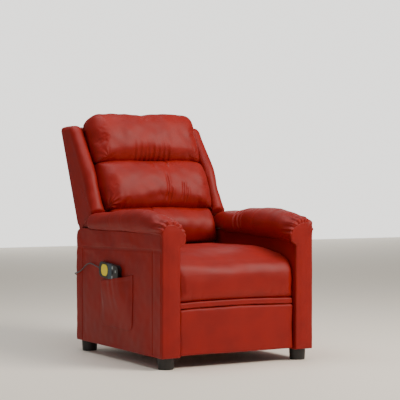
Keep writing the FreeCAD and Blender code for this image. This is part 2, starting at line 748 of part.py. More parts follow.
skin_outline = [(-(inner - 12), skin_low), (inner - 12, skin_low), (inner - 12, skin_waist),
                (s.wing_half - 2, skin_waist), (s.wing_half - 2, s.back_top + 8),
                (-(s.wing_half - 2), s.back_top + 8), (-(s.wing_half - 2), skin_waist),
                (-(inner - 12), skin_waist)]
pad(skin, draw(skin, "back_panel_outline", "XZ_Plane", -s.rear_skin, skin_outline), s.skin_thick, True)
place(skin, HINGE, V(1, 0, 0), LEAN)
keep(skin, "back_panel")

lean = FreeCAD.Placement(V(*[float(c) for c in HINGE]), FreeCAD.Rotation(V(1, 0, 0), float(LEAN)))
back_springs = []
back_spring_rear = float(s.cushion_back) + 6
for number in range(int(s.back_spring_count)):
    up = 125 + number * (float(post_top) - 90 - 125) / (int(s.back_spring_count) - 1)
    reach = float(post_inner) - spring_end
    wire = zigzag(V(-reach, back_spring_rear, up), V(reach, back_spring_rear, up), V(0, 0, 1), 16,
                  WAVES, float(s.spring_wire))
    wire.Placement = lean
    back_springs.append(wire)
feature("back_springs", Part.makeCompound(back_springs))


# massage motors: a can on a saddle, with an off-centre weight on its shaft
def motor(name, x, y=0, z=0):
    """The can and saddle. The saddle stands on the slat, or against the back's motor beam."""
    can = rod(f"can_{name}", (x - s.can_long / 2, y, z), "x", s.can_radius, s.can_long)
    shaft = rod(f"shaft_{name}", (x + s.can_long / 2, y, z), "x", s.shaft_radius, s.weight_thick + 6)
    saddle = block(f"saddle_{name}", (x - s.can_long / 2 + 6, x + s.can_long / 2 - 6),
                   (y - s.can_radius - 3, y + s.can_radius + 3), (z - s.can_radius - 2, z - 4))
    piece = join(f"motor_{name}", [can, shaft, saddle])
    weight_x = x + s.can_long / 2 + 3
    disc = rod(f"disc_{name}", (weight_x, y, z), "x", s.weight_radius, s.weight_thick)
    upper = block(f"disc_top_{name}", (weight_x - 1, weight_x + s.weight_thick + 1),
                  (y - s.weight_radius - 1, y + s.weight_radius + 1), (z + 4, z + s.weight_radius + 1))
    bore = rod(f"disc_bore_{name}", (weight_x - 1, y, z), "x", s.shaft_radius + s.pin_gap,
               s.weight_thick + 2)
    half_moon = cut(f"half_moon_{name}", cut(f"disc_cut_{name}", disc, upper), bore)
    return piece, half_moon


seat_motors, back_motors = [], []
motor_z = slat_high + s.can_radius + 2 + s.fit_gap
for name, side in SIDES:
    piece, weight = motor(f"seat_{name}", side * s.motor_x, y=s.seat_motor_y, z=motor_z)
    seat_motors.append(piece)
    keep(weight, f"seat_motor_weight_{name}")
    piece, weight = motor(f"back_{name}", side * s.motor_x)
    stand = s.post_rear - 10 - s.can_radius - 2 - s.fit_gap
    # stand the saddle on its side, against the beam behind the cushions
    at = (0, s.hinge_y + stand * cos(s.back_lean) + s.back_motor_up * sin(s.back_lean),
          s.hinge_z - stand * sin(s.back_lean) + s.back_motor_up * cos(s.back_lean))
    for item in (piece, weight):
        place(item, at, V(1, 0, 0), 90 - s.back_lean)
    back_motors.append(piece)
    keep(weight, f"back_motor_weight_{name}")
group("seat_motors", seat_motors)
group("back_motors", back_motors)

# electrics at the rear
control_front = base_rear - 38
prism("control_box", "XY_Plane", 68, rectangle(-60, 60, control_front, base_rear - s.fit_gap), 62,
      rounds=[(5, lambda e: is_along(e, V(0, 0, 1)))])
panel_back = panel_front + 9
gland = join("gland_body", [
    rod("gland_flange", (gland_x, panel_back + s.fit_gap, gland_z), "y", 10, 4),
    rod("gland_neck", (gland_x, panel_front - 4, gland_z), "y", HOLE_ROUND, 22),
])
lead_gap = 0.2
gland_bore = rod("gland_bore", (gland_x, panel_front - 5, gland_z), "y", s.lead_radius + lead_gap, 40)
keep(cut("gland_bored", gland, gland_bore), "lead_gland")
socket = join("socket_body", [
    rod("socket_flange", (inlet_x, panel_back + s.fit_gap, inlet_z), "y", 11, 3),
    rod("socket_barrel", (inlet_x, panel_front - 14, inlet_z), "y", HOLE_ROUND, 26 - 0.3),
])
keep(cut("socket_bored", socket, rod("socket_bore", (inlet_x, panel_front - 4, inlet_z), "y", 3.2, 40)),
     "power_inlet")

# hand control, drawn flat about its middle: length along Y, width along Z, buttons towards -X
pocket_x = -half - s.fit_gap
remote_x = pocket_x - 0.4 - s.remote_thick / 2
REMOTE_AT = (remote_x, s.remote_y, s.remote_z)
long_half, wide_half, thick_half = s.remote_long / 2, s.remote_wide / 2, s.remote_thick / 2
REMOTE_CORNER = 22
buttons = {  # name: (along, across, length, width)
    "power": (-38, 20, 10, 12), "mode": (-38, 0, 10, 12), "heat": (-38, -20, 10, 12),
    "timer": (-68, 8, 8, 10),
}


def remote_shell(label, start, thick, inside_start, inside_thick, holes):
    body = new_body(label)
    outline = rounded_rectangle(-long_half, long_half, -wide_half, wide_half, REMOTE_CORNER)
    pad(body, draw(body, label + "_outline", "YZ_Plane", start, outline), thick)
    wall = s.shell_wall
    room = rounded_rectangle(-long_half + wall, long_half - wall, -wide_half + wall, wide_half - wall,
                             REMOTE_CORNER - wall)
    pocket(body, draw(body, label + "_room", "YZ_Plane", inside_start, room), inside_thick)
    for number, hole in enumerate(holes):
        pocket(body, draw(body, f"{label}_hole{number}", "YZ_Plane", start - 1, hole), wall + 2)
    place(body, REMOTE_AT, V(1, 0, 0), s.remote_tilt)
    keep(body, label)


def around(along, across, length, width, gap):
    return rectangle(size(along) - length / 2 - gap, size(along) + length / 2 + gap,
                     size(across) - width / 2 - gap, size(across) + width / 2 + gap)


accent = (36, 0, 60, 48)
remote_shell("remote_front_shell", -thick_half, thick_half - 0.05, -thick_half + s.shell_wall,
             thick_half, [around(*place_at, s.button_gap) for place_at in buttons.values()])
remote_shell("remote_back_shell", 0.05, thick_half - 0.05, -1, thick_half - s.shell_wall + 1, [])
board_x = 1.5
prism("remote_board", "YZ_Plane", board_x, rectangle(-long_half + 12, long_half - 14, -24, 24), 1.6,
      at=REMOTE_AT, angle=s.remote_tilt)
proud, accent_round = 0.8, 22
prism("remote_display", "YZ_Plane", -thick_half - proud, around(*accent, 0), proud - 0.05,
      at=REMOTE_AT, angle=s.remote_tilt, rounds=[(accent_round, lambda e: is_along(e, V(1, 0, 0)))])
for name, place_at in buttons.items():
    label = f"remote_button_{name}"
    cap_front = -thick_half - 1.0
    body = new_body(label)
    last = pad(body, draw(body, label + "_cap", "YZ_Plane", cap_front, around(*place_at, 0)), 7)
    soften(body, last, 2, lambda e: is_along(e, V(1, 0, 0)))
    place(body, REMOTE_AT, V(1, 0, 0), s.remote_tilt)
    keep(body, label)
relief_long = 22
relief = doc.addObject("Part::Cone", "relief_cone")
bind(relief, "Radius1", 6.0)
bind(relief, "Radius2", s.lead_radius + 1)
bind(relief, "Height", relief_long)
tilt_cos, tilt_sin = cos(s.remote_tilt), sin(s.remote_tilt)
tail_out = long_half + s.fit_gap
relief_at = (remote_x, s.remote_y + tail_out * tilt_cos, s.remote_z + tail_out * tilt_sin)
place(relief, relief_at, V(1, 0, 0), s.remote_tilt - 90)
keep(relief, "remote_strain_relief")

# side pocket: a patch that stands off the arm, open at the top
pocket_body = new_body("side_pocket")
pocket_room = s.remote_thick + s.pocket_slack
pocket_outer = pocket_x - pocket_room - s.pocket_wall
mouth_front, mouth_middle, mouth_rear = (s.pocket_front, 362), (-125, 341), (s.pocket_rear, 322)
rim = 6


def pocket_outline(margin, lift):
    return [(s.pocket_front + margin + 30, s.pocket_low + margin),
            (s.pocket_rear - margin - 30, s.pocket_low + margin),
            (s.pocket_rear - margin, s.pocket_low + margin + 30),
            (mouth_rear[0] - margin, mouth_rear[1] + lift), (mouth_middle[0], mouth_middle[1] + lift),
            (mouth_front[0] + margin, mouth_front[1] + lift),
            (s.pocket_front + margin, s.pocket_low + margin + 30)]


pad(pocket_body, draw(pocket_body, "pocket_outline", "YZ_Plane", pocket_outer, pocket_outline(0, 0)),
    pocket_room + s.pocket_wall)
pocket(pocket_body, draw(pocket_body, "pocket_room", "YZ_Plane", pocket_outer + s.pocket_wall,
                         pocket_outline(rim, 60)), pocket_room + 1)
keep(pocket_body, "side_pocket")

# the hand control's lead: from the gland, down behind the chair, up round the rear edge and forward
LEAD_POINTS = [
    (-120, 314, 234), (-121, 338, 228), (-122, 354, 209), (-125, 358, 183), (-132, 353, 155),
    (-146, 344, 129), (-172, 338, 112), (-204, 334, 112), (-230, 329, 131), (-243, 324, 164),
    (-251, 320, 204), (-262, 317, 246), (-279, 317, 284), (-306, 319, 312), (-338, 316, 328),
    (-362, 301, 337), (-371, 272, 341), (-371, 236, 347), (-370, 201, 363), (-369, 166, 384),
    (-369, 128, 393), (-369, 97, 389.5), (-369, 68, 383),
]


def rounded_path(points):
    """Straight runs joined by the largest tangent arcs they leave room for."""
    edges, last, radii = [], points[0], []
    for before, corner, after in zip(points, points[1:], points[2:]):
        incoming, outgoing = corner - before, after - corner
        turn = incoming.getAngle(outgoing)
        reach = 0.45 * min(incoming.Length, outgoing.Length)
        bend = reach / math.tan(turn / 2)
        radii.append(bend)
        incoming.normalize()
        outgoing.normalize()
        a, b = corner - incoming * reach, corner + outgoing * reach
        inward = (outgoing - incoming).normalize()
        middle = corner + inward * (bend / math.cos(turn / 2) - bend)
        edges += [Part.LineSegment(last, a).toShape(), Part.Arc(a, middle, b).toShape()]
        last = b
    edges.append(Part.LineSegment(last, points[-1]).toShape())
    return edges, radii


lead_start = V(float(gland_x), float(panel_front) + 18 + 0.3, float(gland_z))
lead_end = V(*[float(c) for c in relief_at]) + V(0, float(tilt_cos), float(tilt_sin)) * (relief_long + 0.6)
route = [lead_start] + [V(*p) for p in LEAD_POINTS] + [lead_end]
lead_edges, lead_radii = rounded_path(route)
lead = tube(lead_edges, float(s.lead_radius))
lead_length = sum(e.Length for e in lead_edges)
section = math.pi * float(s.lead_radius) ** 2
print("lead length", round(lead_length, 1), "smallest bend", round(min(lead_radii), 1))
print("lead bends", [round(r) for r in lead_radii])
print("lead volume over section times length", round(lead.Volume / (section * lead_length), 4))
feature("remote_lead", lead)

doc.recompute()
faults = [o.Name for o in doc.Objects if "Invalid" in o.State or "Error" in o.State]
faults += [n for n, p in parts.items() if p.Shape.isNull() or not p.Shape.isValid()]
if faults:
    raise RuntimeError(f"failed objects: {faults}")
for label, item in parts.items():
    item.Shape.exportStep(f"parts/{label}.step")
print(len(parts), "sub-parts")
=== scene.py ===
import json
import math

import bmesh
import bpy
import numpy as np
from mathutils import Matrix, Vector

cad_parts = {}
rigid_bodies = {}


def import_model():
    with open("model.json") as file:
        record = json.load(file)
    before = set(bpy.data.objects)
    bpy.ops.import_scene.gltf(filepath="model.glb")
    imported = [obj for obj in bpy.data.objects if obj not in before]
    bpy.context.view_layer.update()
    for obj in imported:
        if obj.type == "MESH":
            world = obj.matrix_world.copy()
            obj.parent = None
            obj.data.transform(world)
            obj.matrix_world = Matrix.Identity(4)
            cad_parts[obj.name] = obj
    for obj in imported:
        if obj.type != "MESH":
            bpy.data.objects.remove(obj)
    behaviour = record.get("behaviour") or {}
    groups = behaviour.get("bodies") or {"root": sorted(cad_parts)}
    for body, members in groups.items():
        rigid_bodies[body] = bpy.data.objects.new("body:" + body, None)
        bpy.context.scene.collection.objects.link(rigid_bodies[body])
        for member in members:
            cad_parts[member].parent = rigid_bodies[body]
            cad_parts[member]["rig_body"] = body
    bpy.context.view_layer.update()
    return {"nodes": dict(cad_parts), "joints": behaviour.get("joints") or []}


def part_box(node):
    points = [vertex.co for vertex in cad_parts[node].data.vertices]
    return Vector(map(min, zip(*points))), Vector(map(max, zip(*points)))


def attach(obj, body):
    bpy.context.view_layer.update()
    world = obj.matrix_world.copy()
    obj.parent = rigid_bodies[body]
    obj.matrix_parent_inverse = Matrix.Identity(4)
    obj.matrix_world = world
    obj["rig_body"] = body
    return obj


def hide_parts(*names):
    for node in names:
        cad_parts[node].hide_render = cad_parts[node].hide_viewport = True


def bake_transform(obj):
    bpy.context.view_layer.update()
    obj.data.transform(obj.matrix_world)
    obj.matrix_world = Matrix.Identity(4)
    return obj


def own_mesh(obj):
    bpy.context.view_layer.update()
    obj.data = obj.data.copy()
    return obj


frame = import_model()

# Looks of a push-back massage recliner in red faux leather. Lengths in this script are
# millimetres unless a line says metres; the sitter faces -Y and up is +Z.
mm = 0.001
joints = {joint["name"]: joint for joint in frame["joints"]}
sides = {"left": -1, "right": 1}


def boxMm(node):
    low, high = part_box(node)
    return np.array(low) / mm, np.array(high) / mm


# the camera comes first; its place is in metres and its angles are in degrees
view = {"lens": 123.8, "sensor": 36, "at": (-2.909, -5.254, 0.760), "yaw": 29.84, "down": 0.92}


def addCamera():
    data = bpy.data.cameras.new("viewCamera")
    data.lens = view["lens"]
    data.sensor_width = view["sensor"]
    camera = bpy.data.objects.new("viewCamera", data)
    yaw, down = math.radians(view["yaw"]), math.radians(view["down"])
    ahead = Vector((math.sin(yaw) * math.cos(down), math.cos(yaw) * math.cos(down), -math.sin(down)))
    camera.location = view["at"]
    camera.rotation_euler = ahead.to_track_quat("-Z", "Y").to_euler()
    bpy.context.scene.collection.objects.link(camera)
    bpy.context.scene.camera = camera


addCamera()
print("camera set")


# materials
def toLinear(hexColour):
    parts = [int(hexColour[i:i + 2], 16) / 255 for i in (1, 3, 5)]
    return tuple(c / 12.92 if c <= 0.04045 else ((c + 0.055) / 1.055) ** 2.4 for c in parts) + (1,)


def addNode(tree, kind, settings=None, links=None):
    node = tree.nodes.new(kind)
    for key, value in (settings or {}).items():
        if isinstance(key, int) or key in node.inputs:
            node.inputs[key].default_value = value
        else:
            setattr(node, key, value)
    for key, socket in (links or {}).items():
        tree.links.new(socket, node.inputs[key])
    return node


def startMaterial(name, shine):
    material = bpy.data.materials.new(name)
    material.use_nodes = True
    tree = material.node_tree
    tree.nodes.clear()
    shader = addNode(tree, "ShaderNodeBsdfPrincipled", shine)
    output = addNode(tree, "ShaderNodeOutputMaterial")
    tree.links.new(shader.outputs[0], output.inputs["Surface"])
    place = addNode(tree, "ShaderNodeTexCoord").outputs["Object"]
    return material, tree, shader, place


def perMetre(sizeMm):
    return 1 / (sizeMm * mm)


# Faux leather: polyurethane skin embossed with a fine pebble grain on a knitted backing. It gives a
# satin red with broad soft highlights and faint blotches where the dye is uneven.
fauxLeatherLook = {"grain": 1.9, "crease": 11.0, "blotch": 85.0, "grainDepth": 0.05, "creaseDepth": 0.14,
                   "specular": 0.27}


def fauxLeather(name, main, deep, roughness):
    look = fauxLeatherLook
    shine = {"Roughness": roughness, "IOR": 1.5, "Specular IOR Level": look["specular"]}
    material, tree, shader, place = startMaterial(name, shine)
    blotch = addNode(tree, "ShaderNodeTexNoise", {"Scale": perMetre(look["blotch"]), "Detail": 3.0},
                     {"Vector": place})
    tone = addNode(tree, "ShaderNodeValToRGB", links={"Fac": blotch.outputs["Fac"]})
    tone.color_ramp.elements[0].position, tone.color_ramp.elements[1].position = 0.32, 0.68
    tone.color_ramp.elements[0].color, tone.color_ramp.elements[1].color = toLinear(deep), toLinear(main)
    cells = addNode(tree, "ShaderNodeTexVoronoi", {"Scale": perMetre(look["grain"]),
                                                   "feature": "DISTANCE_TO_EDGE"}, {"Vector": place})
    valley = addNode(tree, "ShaderNodeMapRange", {"From Max": 0.22, "To Min": 0.92},
                     {"Value": cells.outputs["Distance"]})
    grainTone = addNode(tree, "ShaderNodeMix", {"data_type": "RGBA", "blend_type": "MULTIPLY", 0: 1.0},
                        {6: tone.outputs["Color"], 7: valley.outputs["Result"]})
    tree.links.new(grainTone.outputs[2], shader.inputs["Base Color"])
    rub = addNode(tree, "ShaderNodeMapRange", {"To Min": roughness - 0.05, "To Max": roughness + 0.07},
                  {"Value": blotch.outputs["Fac"]})
    tree.links.new(rub.outputs["Result"], shader.inputs["Roughness"])
    crease = addNode(tree, "ShaderNodeTexNoise", {"Scale": perMetre(look["crease"]), "Detail": 4.0,
                                                  "Distortion": 0.6}, {"Vector": place})
    soft = addNode(tree, "ShaderNodeBump", {"Strength": look["creaseDepth"], "Distance": 0.5 * mm},
                   {"Height": crease.outputs["Fac"]})
    fine = addNode(tree, "ShaderNodeBump", {"Strength": look["grainDepth"] * 5, "Distance": 0.12 * mm},
                   {"Height": valley.outputs["Result"], "Normal": soft.outputs["Normal"]})
    tree.links.new(fine.outputs["Normal"], shader.inputs["Normal"])
    return material


def grainy(name, main, second, sizeMm, shine, depth=0.1, stretch=(1, 1, 1)):
    # one noise drives a two-tone colour, the roughness spread and the bump
    material, tree, shader, place = startMaterial(name, shine)
    turned = addNode(tree, "ShaderNodeMapping", {"Scale": stretch}, {"Vector": place})
    noise = addNode(tree, "ShaderNodeTexNoise", {"Scale": perMetre(sizeMm), "Detail": 5.0},
                    {"Vector": turned.outputs["Vector"]})
    tone = addNode(tree, "ShaderNodeMix", {"data_type": "RGBA", 6: toLinear(main), 7: toLinear(second)},
                   {0: noise.outputs["Fac"]})
    tree.links.new(tone.outputs[2], shader.inputs["Base Color"])
    rough = shine["Roughness"]
    spread = addNode(tree, "ShaderNodeMapRange", {"To Min": max(rough - 0.08, 0.02),
                                                  "To Max": rough + 0.08}, {"Value": noise.outputs["Fac"]})
    tree.links.new(spread.outputs["Result"], shader.inputs["Roughness"])
    bump = addNode(tree, "ShaderNodeBump", {"Strength": depth, "Distance": 0.2 * mm},
                   {"Height": noise.outputs["Fac"]})
    tree.links.new(bump.outputs["Normal"], shader.inputs["Normal"])
    return material


# Birch plywood: rotary-cut veneers. Long pale grain on the face and thin dark glue lines at the edges.
def birchPlywood():
    material, tree, shader, place = startMaterial("birchPlywood", {"Roughness": 0.62, "IOR": 1.5})
    along = addNode(tree, "ShaderNodeMapping", {"Scale": (1.0, 6.0, 1.0)}, {"Vector": place})
    grain = addNode(tree, "ShaderNodeTexNoise", {"Scale": perMetre(22), "Detail": 7.0, "Distortion": 0.8},
                    {"Vector": along.outputs["Vector"]})
    face = addNode(tree, "ShaderNodeMix", {"data_type": "RGBA", 6: toLinear("#C9A577"),
                                           7: toLinear("#A27B4C")}, {0: grain.outputs["Fac"]})
    ply = addNode(tree, "ShaderNodeTexWave", {"Scale": perMetre(1.6) / 20, "Distortion": 0.6,
                                              "bands_direction": "DIAGONAL"}, {"Vector": place})
    dark = addNode(tree, "ShaderNodeMapRange", {"From Min": 0.0, "From Max": 0.25, "To Min": 0.86},
                   {"Value": ply.outputs["Fac"]})
    both = addNode(tree, "ShaderNodeMix", {"data_type": "RGBA", "blend_type": "MULTIPLY", 0: 1.0},
                   {6: face.outputs[2], 7: dark.outputs["Result"]})
    tree.links.new(both.outputs[2], shader.inputs["Base Color"])
    bump = addNode(tree, "ShaderNodeBump", {"Strength": 0.25, "Distance": 0.3 * mm},
                   {"Height": grain.outputs["Fac"]})
    tree.links.new(bump.outputs["Normal"], shader.inputs["Normal"])
    return material


# Hand control front: black ABS with a printed dark teal field between the display and the keys.
remoteLook = {"tealFrom": -67, "tealTo": -101}


def remoteFace():
    material, tree, shader, place = startMaterial("mouldedAbsPrinted", {"Roughness": 0.36, "IOR": 1.53})
    split = addNode(tree, "ShaderNodeSeparateXYZ", links={"Vector": place})
    edgeFrom = addNode(tree, "ShaderNodeMath", {"operation": "LESS_THAN", 1: remoteLook["tealFrom"] * mm},
                       {0: split.outputs["Y"]})
    edgeTo = addNode(tree, "ShaderNodeMath", {"operation": "GREATER_THAN", 1: remoteLook["tealTo"] * mm},
                     {0: split.outputs["Y"]})
    inside = addNode(tree, "ShaderNodeMath", {"operation": "MULTIPLY"},
                     {0: edgeFrom.outputs[0], 1: edgeTo.outputs[0]})
    fleck = addNode(tree, "ShaderNodeTexNoise", {"Scale": perMetre(0.8), "Detail": 2.0}, {"Vector": place})
    tone = addNode(tree, "ShaderNodeMix", {"data_type": "RGBA", 6: toLinear("#101214"),
                                           7: toLinear("#1E3C4C")}, {0: inside.outputs[0]})
    tree.links.new(tone.outputs[2], shader.inputs["Base Color"])
    bump = addNode(tree, "ShaderNodeBump", {"Strength": 0.15, "Distance": 0.05 * mm},
                   {"Height": fleck.outputs["Fac"]})
    tree.links.new(bump.outputs["Normal"], shader.inputs["Normal"])
    return material


redLeather = fauxLeather("embossedFauxLeather", "#911408", "#841109", 0.5)
# spun thread is matt and lies a shade deeper than the skin around it
redThread = grainy("spunPolyesterThread", "#6E1A12", "#8A2A20", 0.6, {"Roughness": 0.75, "IOR": 1.5})
# injection-moulded plastics are an even near-black with wide, soft highlights
blackFoot = grainy("mouldedPolypropylene", "#1B1918", "#262322", 1.4, {"Roughness": 0.5, "IOR": 1.49})
blackAbs = grainy("mouldedAbs", "#131416", "#1B1D1F", 0.9, {"Roughness": 0.42, "IOR": 1.53})
# baked powder coat is dull black with a light orange-peel texture
blackSteel = grainy("powderCoatedSteel", "#141414", "#1E1E1E", 0.7, {"Roughness": 0.48, "IOR": 1.5}, 0.3)
# bare metals: zinc plate is pale and slightly yellow, tempered wire is dark, a drawn can shows fine lines
# along its draw, and a sintered weight is matt and speckled
zincSteel = grainy("zincPlatedSteel", "#B9B8AE", "#9C9B93", 3.0, {"Roughness": 0.3, "Metallic": 1.0})
springSteel = grainy("oilTemperedWire", "#5A5A5C", "#454547", 2.0, {"Roughness": 0.4, "Metallic": 1.0})
motorSteel = grainy("drawnMotorCan", "#A5A6A8", "#8E8F92", 4.0, {"Roughness": 0.28, "Metallic": 1.0}, 0.05,
                    (0.2, 1, 1))
weightSteel = grainy("sinteredSteelWeight", "#77787A", "#606163", 0.6,
                     {"Roughness": 0.55, "Metallic": 1.0}, 0.4)
# inside and on the hand control: glossy green mask, a smooth printed lens, and matt silicone keys
circuitBoard = grainy("solderMaskedBoard", "#1E5B33", "#174A2A", 1.2, {"Roughness": 0.35, "IOR": 1.55})
limeLens = grainy("printedPolycarbonate", "#F7E014", "#E4CE16", 5.0, {"Roughness": 0.32, "IOR": 1.58}, 0.03)
greyKey = grainy("mouldedSiliconeGrey", "#A9AEB0", "#989DA0", 0.8, {"Roughness": 0.55, "IOR": 1.41})
darkKey = grainy("mouldedSiliconeDark", "#232A33", "#1A2028", 0.8, {"Roughness": 0.55, "IOR": 1.41})
# extruded PVC jacket: smooth dark grey with a low sheen
greyPvc = grainy("extrudedPvcGrey", "#4B474C", "#3E3B40", 1.5, {"Roughness": 0.5, "IOR": 1.53})
plywood = birchPlywood()
printedAbs = remoteFace()

nodeLooks = (
    (redLeather, ("rear_panel",)),
    (blackFoot, ("foot_front_left", "foot_front_right", "foot_rear_left", "foot_rear_right")),
    (zincSteel, ("foot_studs", "mechanism_bolts")),
    (plywood, ("arm_frame_left", "arm_frame_right", "base_rails", "seat_side_rails", "seat_cross_rails",
               "spring_anchor_rail", "back_frame", "footrest_board")),
    (springSteel, ("seat_springs", "back_springs")),
    (blackSteel, ("mechanism_plates", "drive_links", "idler_links", "carrier_links", "control_links",
                  "footrest_brackets", "torque_tube", "back_hinge_brackets", "back_hinge_arms")),
    (motorSteel, ("seat_motors", "back_motors")),
    (weightSteel, ("seat_motor_weight_left", "seat_motor_weight_right", "back_motor_weight_left",
                   "back_motor_weight_right")),
    (blackAbs, ("control_box", "lead_gland", "power_inlet", "remote_back_shell", "remote_strain_relief")),
    (printedAbs, ("remote_front_shell",)),
    (circuitBoard, ("remote_board",)),
    (limeLens, ("remote_display",)),
    (greyKey, ("remote_button_power", "remote_button_heat", "remote_button_timer")),
    (darkKey, ("remote_button_mode",)),
)
for material, nodes in nodeLooks:
    for node in nodes:
        frame["nodes"][node].data.materials.clear()
        frame["nodes"][node].data.materials.append(material)
print("materials made")


# the lead of the hand control, in metres
lead = {
    "radius": 0.0025, "length": 0.7875, "exit": (-0.120, 0.2916, 0.235), "endX": -0.3687,
    "route": [  # from the gland round the rear edge to the hand control
        (-0.120, 0.314, 0.234), (-0.121, 0.338, 0.228), (-0.122, 0.354, 0.209), (-0.125, 0.358, 0.183),
        (-0.132, 0.353, 0.155), (-0.146, 0.344, 0.129), (-0.172, 0.338, 0.112), (-0.204, 0.334, 0.112),
        (-0.230, 0.329, 0.131), (-0.243, 0.324, 0.164), (-0.251, 0.320, 0.204), (-0.262, 0.317, 0.246),
        (-0.279, 0.317, 0.284), (-0.306, 0.319, 0.312), (-0.338, 0.316, 0.328), (-0.362, 0.301, 0.337),
        (-0.371, 0.272, 0.341), (-0.371, 0.236, 0.347), (-0.370, 0.201, 0.363), (-0.369, 0.166, 0.384),
        (-0.369, 0.128, 0.393), (-0.369, 0.097, 0.3895), (-0.369, 0.068, 0.383),
    ],
}


def addLead():
    reliefLow, reliefHigh = boxMm("remote_strain_relief")
    # the last point is just behind the strain relief's mouth, a little above its middle
    end = (lead["endX"], (reliefHigh[1] + 0.3) * mm, (reliefLow[2] + reliefHigh[2] + 4.0) / 2 * mm)
    points = [lead["exit"]] + lead["route"] + [end]
    curve = bpy.data.curves.new("remoteLead", "CURVE")
    curve.dimensions = "3D"
    spline = curve.splines.new("NURBS")
    spline.points.add(len(points) - 1)
    for point, at in zip(spline.points, points):
        point.co = (*at, 1)
    spline.order_u = 3
    spline.use_endpoint_u = True
    spline.resolution_u = 12
    curve.bevel_depth = lead["radius"]
    curve.bevel_resolution = 5
    curve.use_fill_caps = True
    piece = bpy.data.objects.new("remoteLead", curve)
    bpy.context.scene.collection.objects.link(piece)
    curve.materials.append(greyPvc)
    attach(piece, "root")
    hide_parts("remote_lead")


addLead()
print("lead laid")


# mesh helpers
def makePiece(name, points, faces, body, material=None):
    mesh = bpy.data.meshes.new(name)
    mesh.from_pydata((np.asarray(points) * mm).tolist(), [], faces)
    shell = bmesh.new()
    shell.from_mesh(mesh)
    bmesh.ops.recalc_face_normals(shell, faces=shell.faces)
    shell.to_mesh(mesh)
    shell.free()
    mesh.shade_smooth()
    piece = bpy.data.objects.new(name, mesh)
    bpy.context.scene.collection.objects.link(piece)
    mesh.materials.append(material or redLeather)
    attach(piece, body)
    return piece


def onCurve(points, places):
    # closed smooth curve through the points; a place is a point's number plus a fraction
    ctrl = np.array(points, float)
    first = np.floor(places).astype(int)
    t = (places - first)[:, None]
    a, b, c, d = (ctrl[(first + k) % len(ctrl)] for k in (-1, 0, 1, 2))
    return 0.5 * (2 * b + (c - a) * t + (2 * a - 5 * b + 4 * c - d) * t ** 2
                  + (3 * b - a - 3 * c + d) * t ** 3)


def evenPlaces(points, step):
    fine = np.linspace(0, len(points), len(points) * 40 + 1)
    line = onCurve(points, fine)
    walk = np.concatenate([[0], np.cumsum(np.linalg.norm(np.diff(line, axis=0), axis=1))])
    return np.interp(np.linspace(0, walk[-1], max(12, int(walk[-1] / step)), endpoint=False), walk, fine)


def joinRings(rings):
    # closed skin over rings of equal count, each end drawn to a point at the end ring's middle
    count = len(rings[0])
    points = np.vstack(rings + [rings[0].mean(0)[None], rings[-1].mean(0)[None]])
    faces = []
    for r in range(len(rings) - 1):
        for i in range(count):
            j = (i + 1) % count
            faces.append((r * count + i, r * count + j, (r + 1) * count + j, (r + 1) * count + i))
    first, last, base = len(points) - 2, len(points) - 1, (len(rings) - 1) * count
    for i in range(count):
        j = (i + 1) % count
        faces += [(first, j, i), (last, base + i, base + j)]
    return points, faces


def shrunk(ring, share, push):
    middle = ring.mean(0)
    return middle + (ring - middle) * share + push


# how a cap closes: the share of the end ring left at each step, and how far it stands out
capSteps = ((0.92, 0.30), (0.75, 0.65), (0.5, 0.88), (0.25, 0.98))


def profileRings(centre, end, half, edge, step, puff, middle=0.0):
    # a side profile carried across x: its end shape at the two ends, its centre shape between them
    places = evenPlaces(centre, step)
    full, thin = onCurve(centre, places), onCurve(end, places)
    turns = np.linspace(0, math.pi / 2, 10)
    edgeX = half - edge * (1 - np.cos(turns))
    inner = edgeX[-1]
    flatX = np.linspace(-inner, inner, max(3, int(2 * inner / step)))[1:-1]
    stations = [(-x, math.sin(t)) for x, t in zip(edgeX, turns)]
    stations += [(x, 1.0) for x in flatX] + [(x, math.sin(t)) for x, t in zip(edgeX[::-1], turns[::-1])]
    rings = []
    for x, share in stations:
        loop = thin + (full - thin) * share
        rings.append(np.column_stack([np.full(len(loop), middle + x), loop]))
    before = [shrunk(rings[0], s, np.array([-puff * p, 0, 0])) for s, p in capSteps][::-1]
    after = [shrunk(rings[-1], s, np.array([puff * p, 0, 0])) for s, p in capSteps]
    return before + rings + after


def axisLines(low, high, radius, step, marks):
    near = radius * np.tan(np.linspace(0, math.pi / 4, 5))
    middle = np.linspace(low + radius, high - radius, max(2, int((high - low - 2 * radius) / step) + 1))
    extra = [m + d for m in marks for d in (-7, -4, -2, -0.8, 0, 0.8, 2, 4, 7)]
    lines = np.concatenate([low + radius - near, middle, high - radius + near, extra])
    lines = np.unique(np.round(lines[(lines >= low) & (lines <= high)], 3))
    keepers = [lines[0]]
    for value in lines[1:]:
        if value - keepers[-1] > 0.5:
            keepers.append(value)
    keepers[-1] = high
    return np.array(keepers)


def softBox(low, high, radius, step, marks=((), (), ())):
    # a box of even quads with rounded edges; marks are extra grid lines where seams run
    low, high, radius = (np.array(v, float) for v in (low, high, np.broadcast_to(radius, 3)))
    lines = [axisLines(low[a], high[a], radius[a], step, marks[a]) for a in range(3)]
    index, points, faces = {}, [], []

    def vertex(key):
        if key not in index:
            index[key] = len(points)
            points.append([lines[a][key[a]] for a in range(3)])
        return index[key]

    for axis in range(3):
        u, v = (axis + 1) % 3, (axis + 2) % 3
        for at in (0, len(lines[axis]) - 1):
            for i in range(len(lines[u]) - 1):
                for j in range(len(lines[v]) - 1):
                    corners = []
                    for di, dj in ((0, 0), (1, 0), (1, 1), (0, 1)):
                        key = [0, 0, 0]
                        key[axis], key[u], key[v] = at, i + di, j + dj
                        corners.append(vertex(tuple(key)))
                    faces.append(tuple(corners))
    points = np.array(points)
    core = np.clip(points, low + radius, high - radius)
    away = (points - core) / radius
    length = np.linalg.norm(away, axis=1, keepdims=True)
    return core + radius * away / np.maximum(length, 1e-9), faces


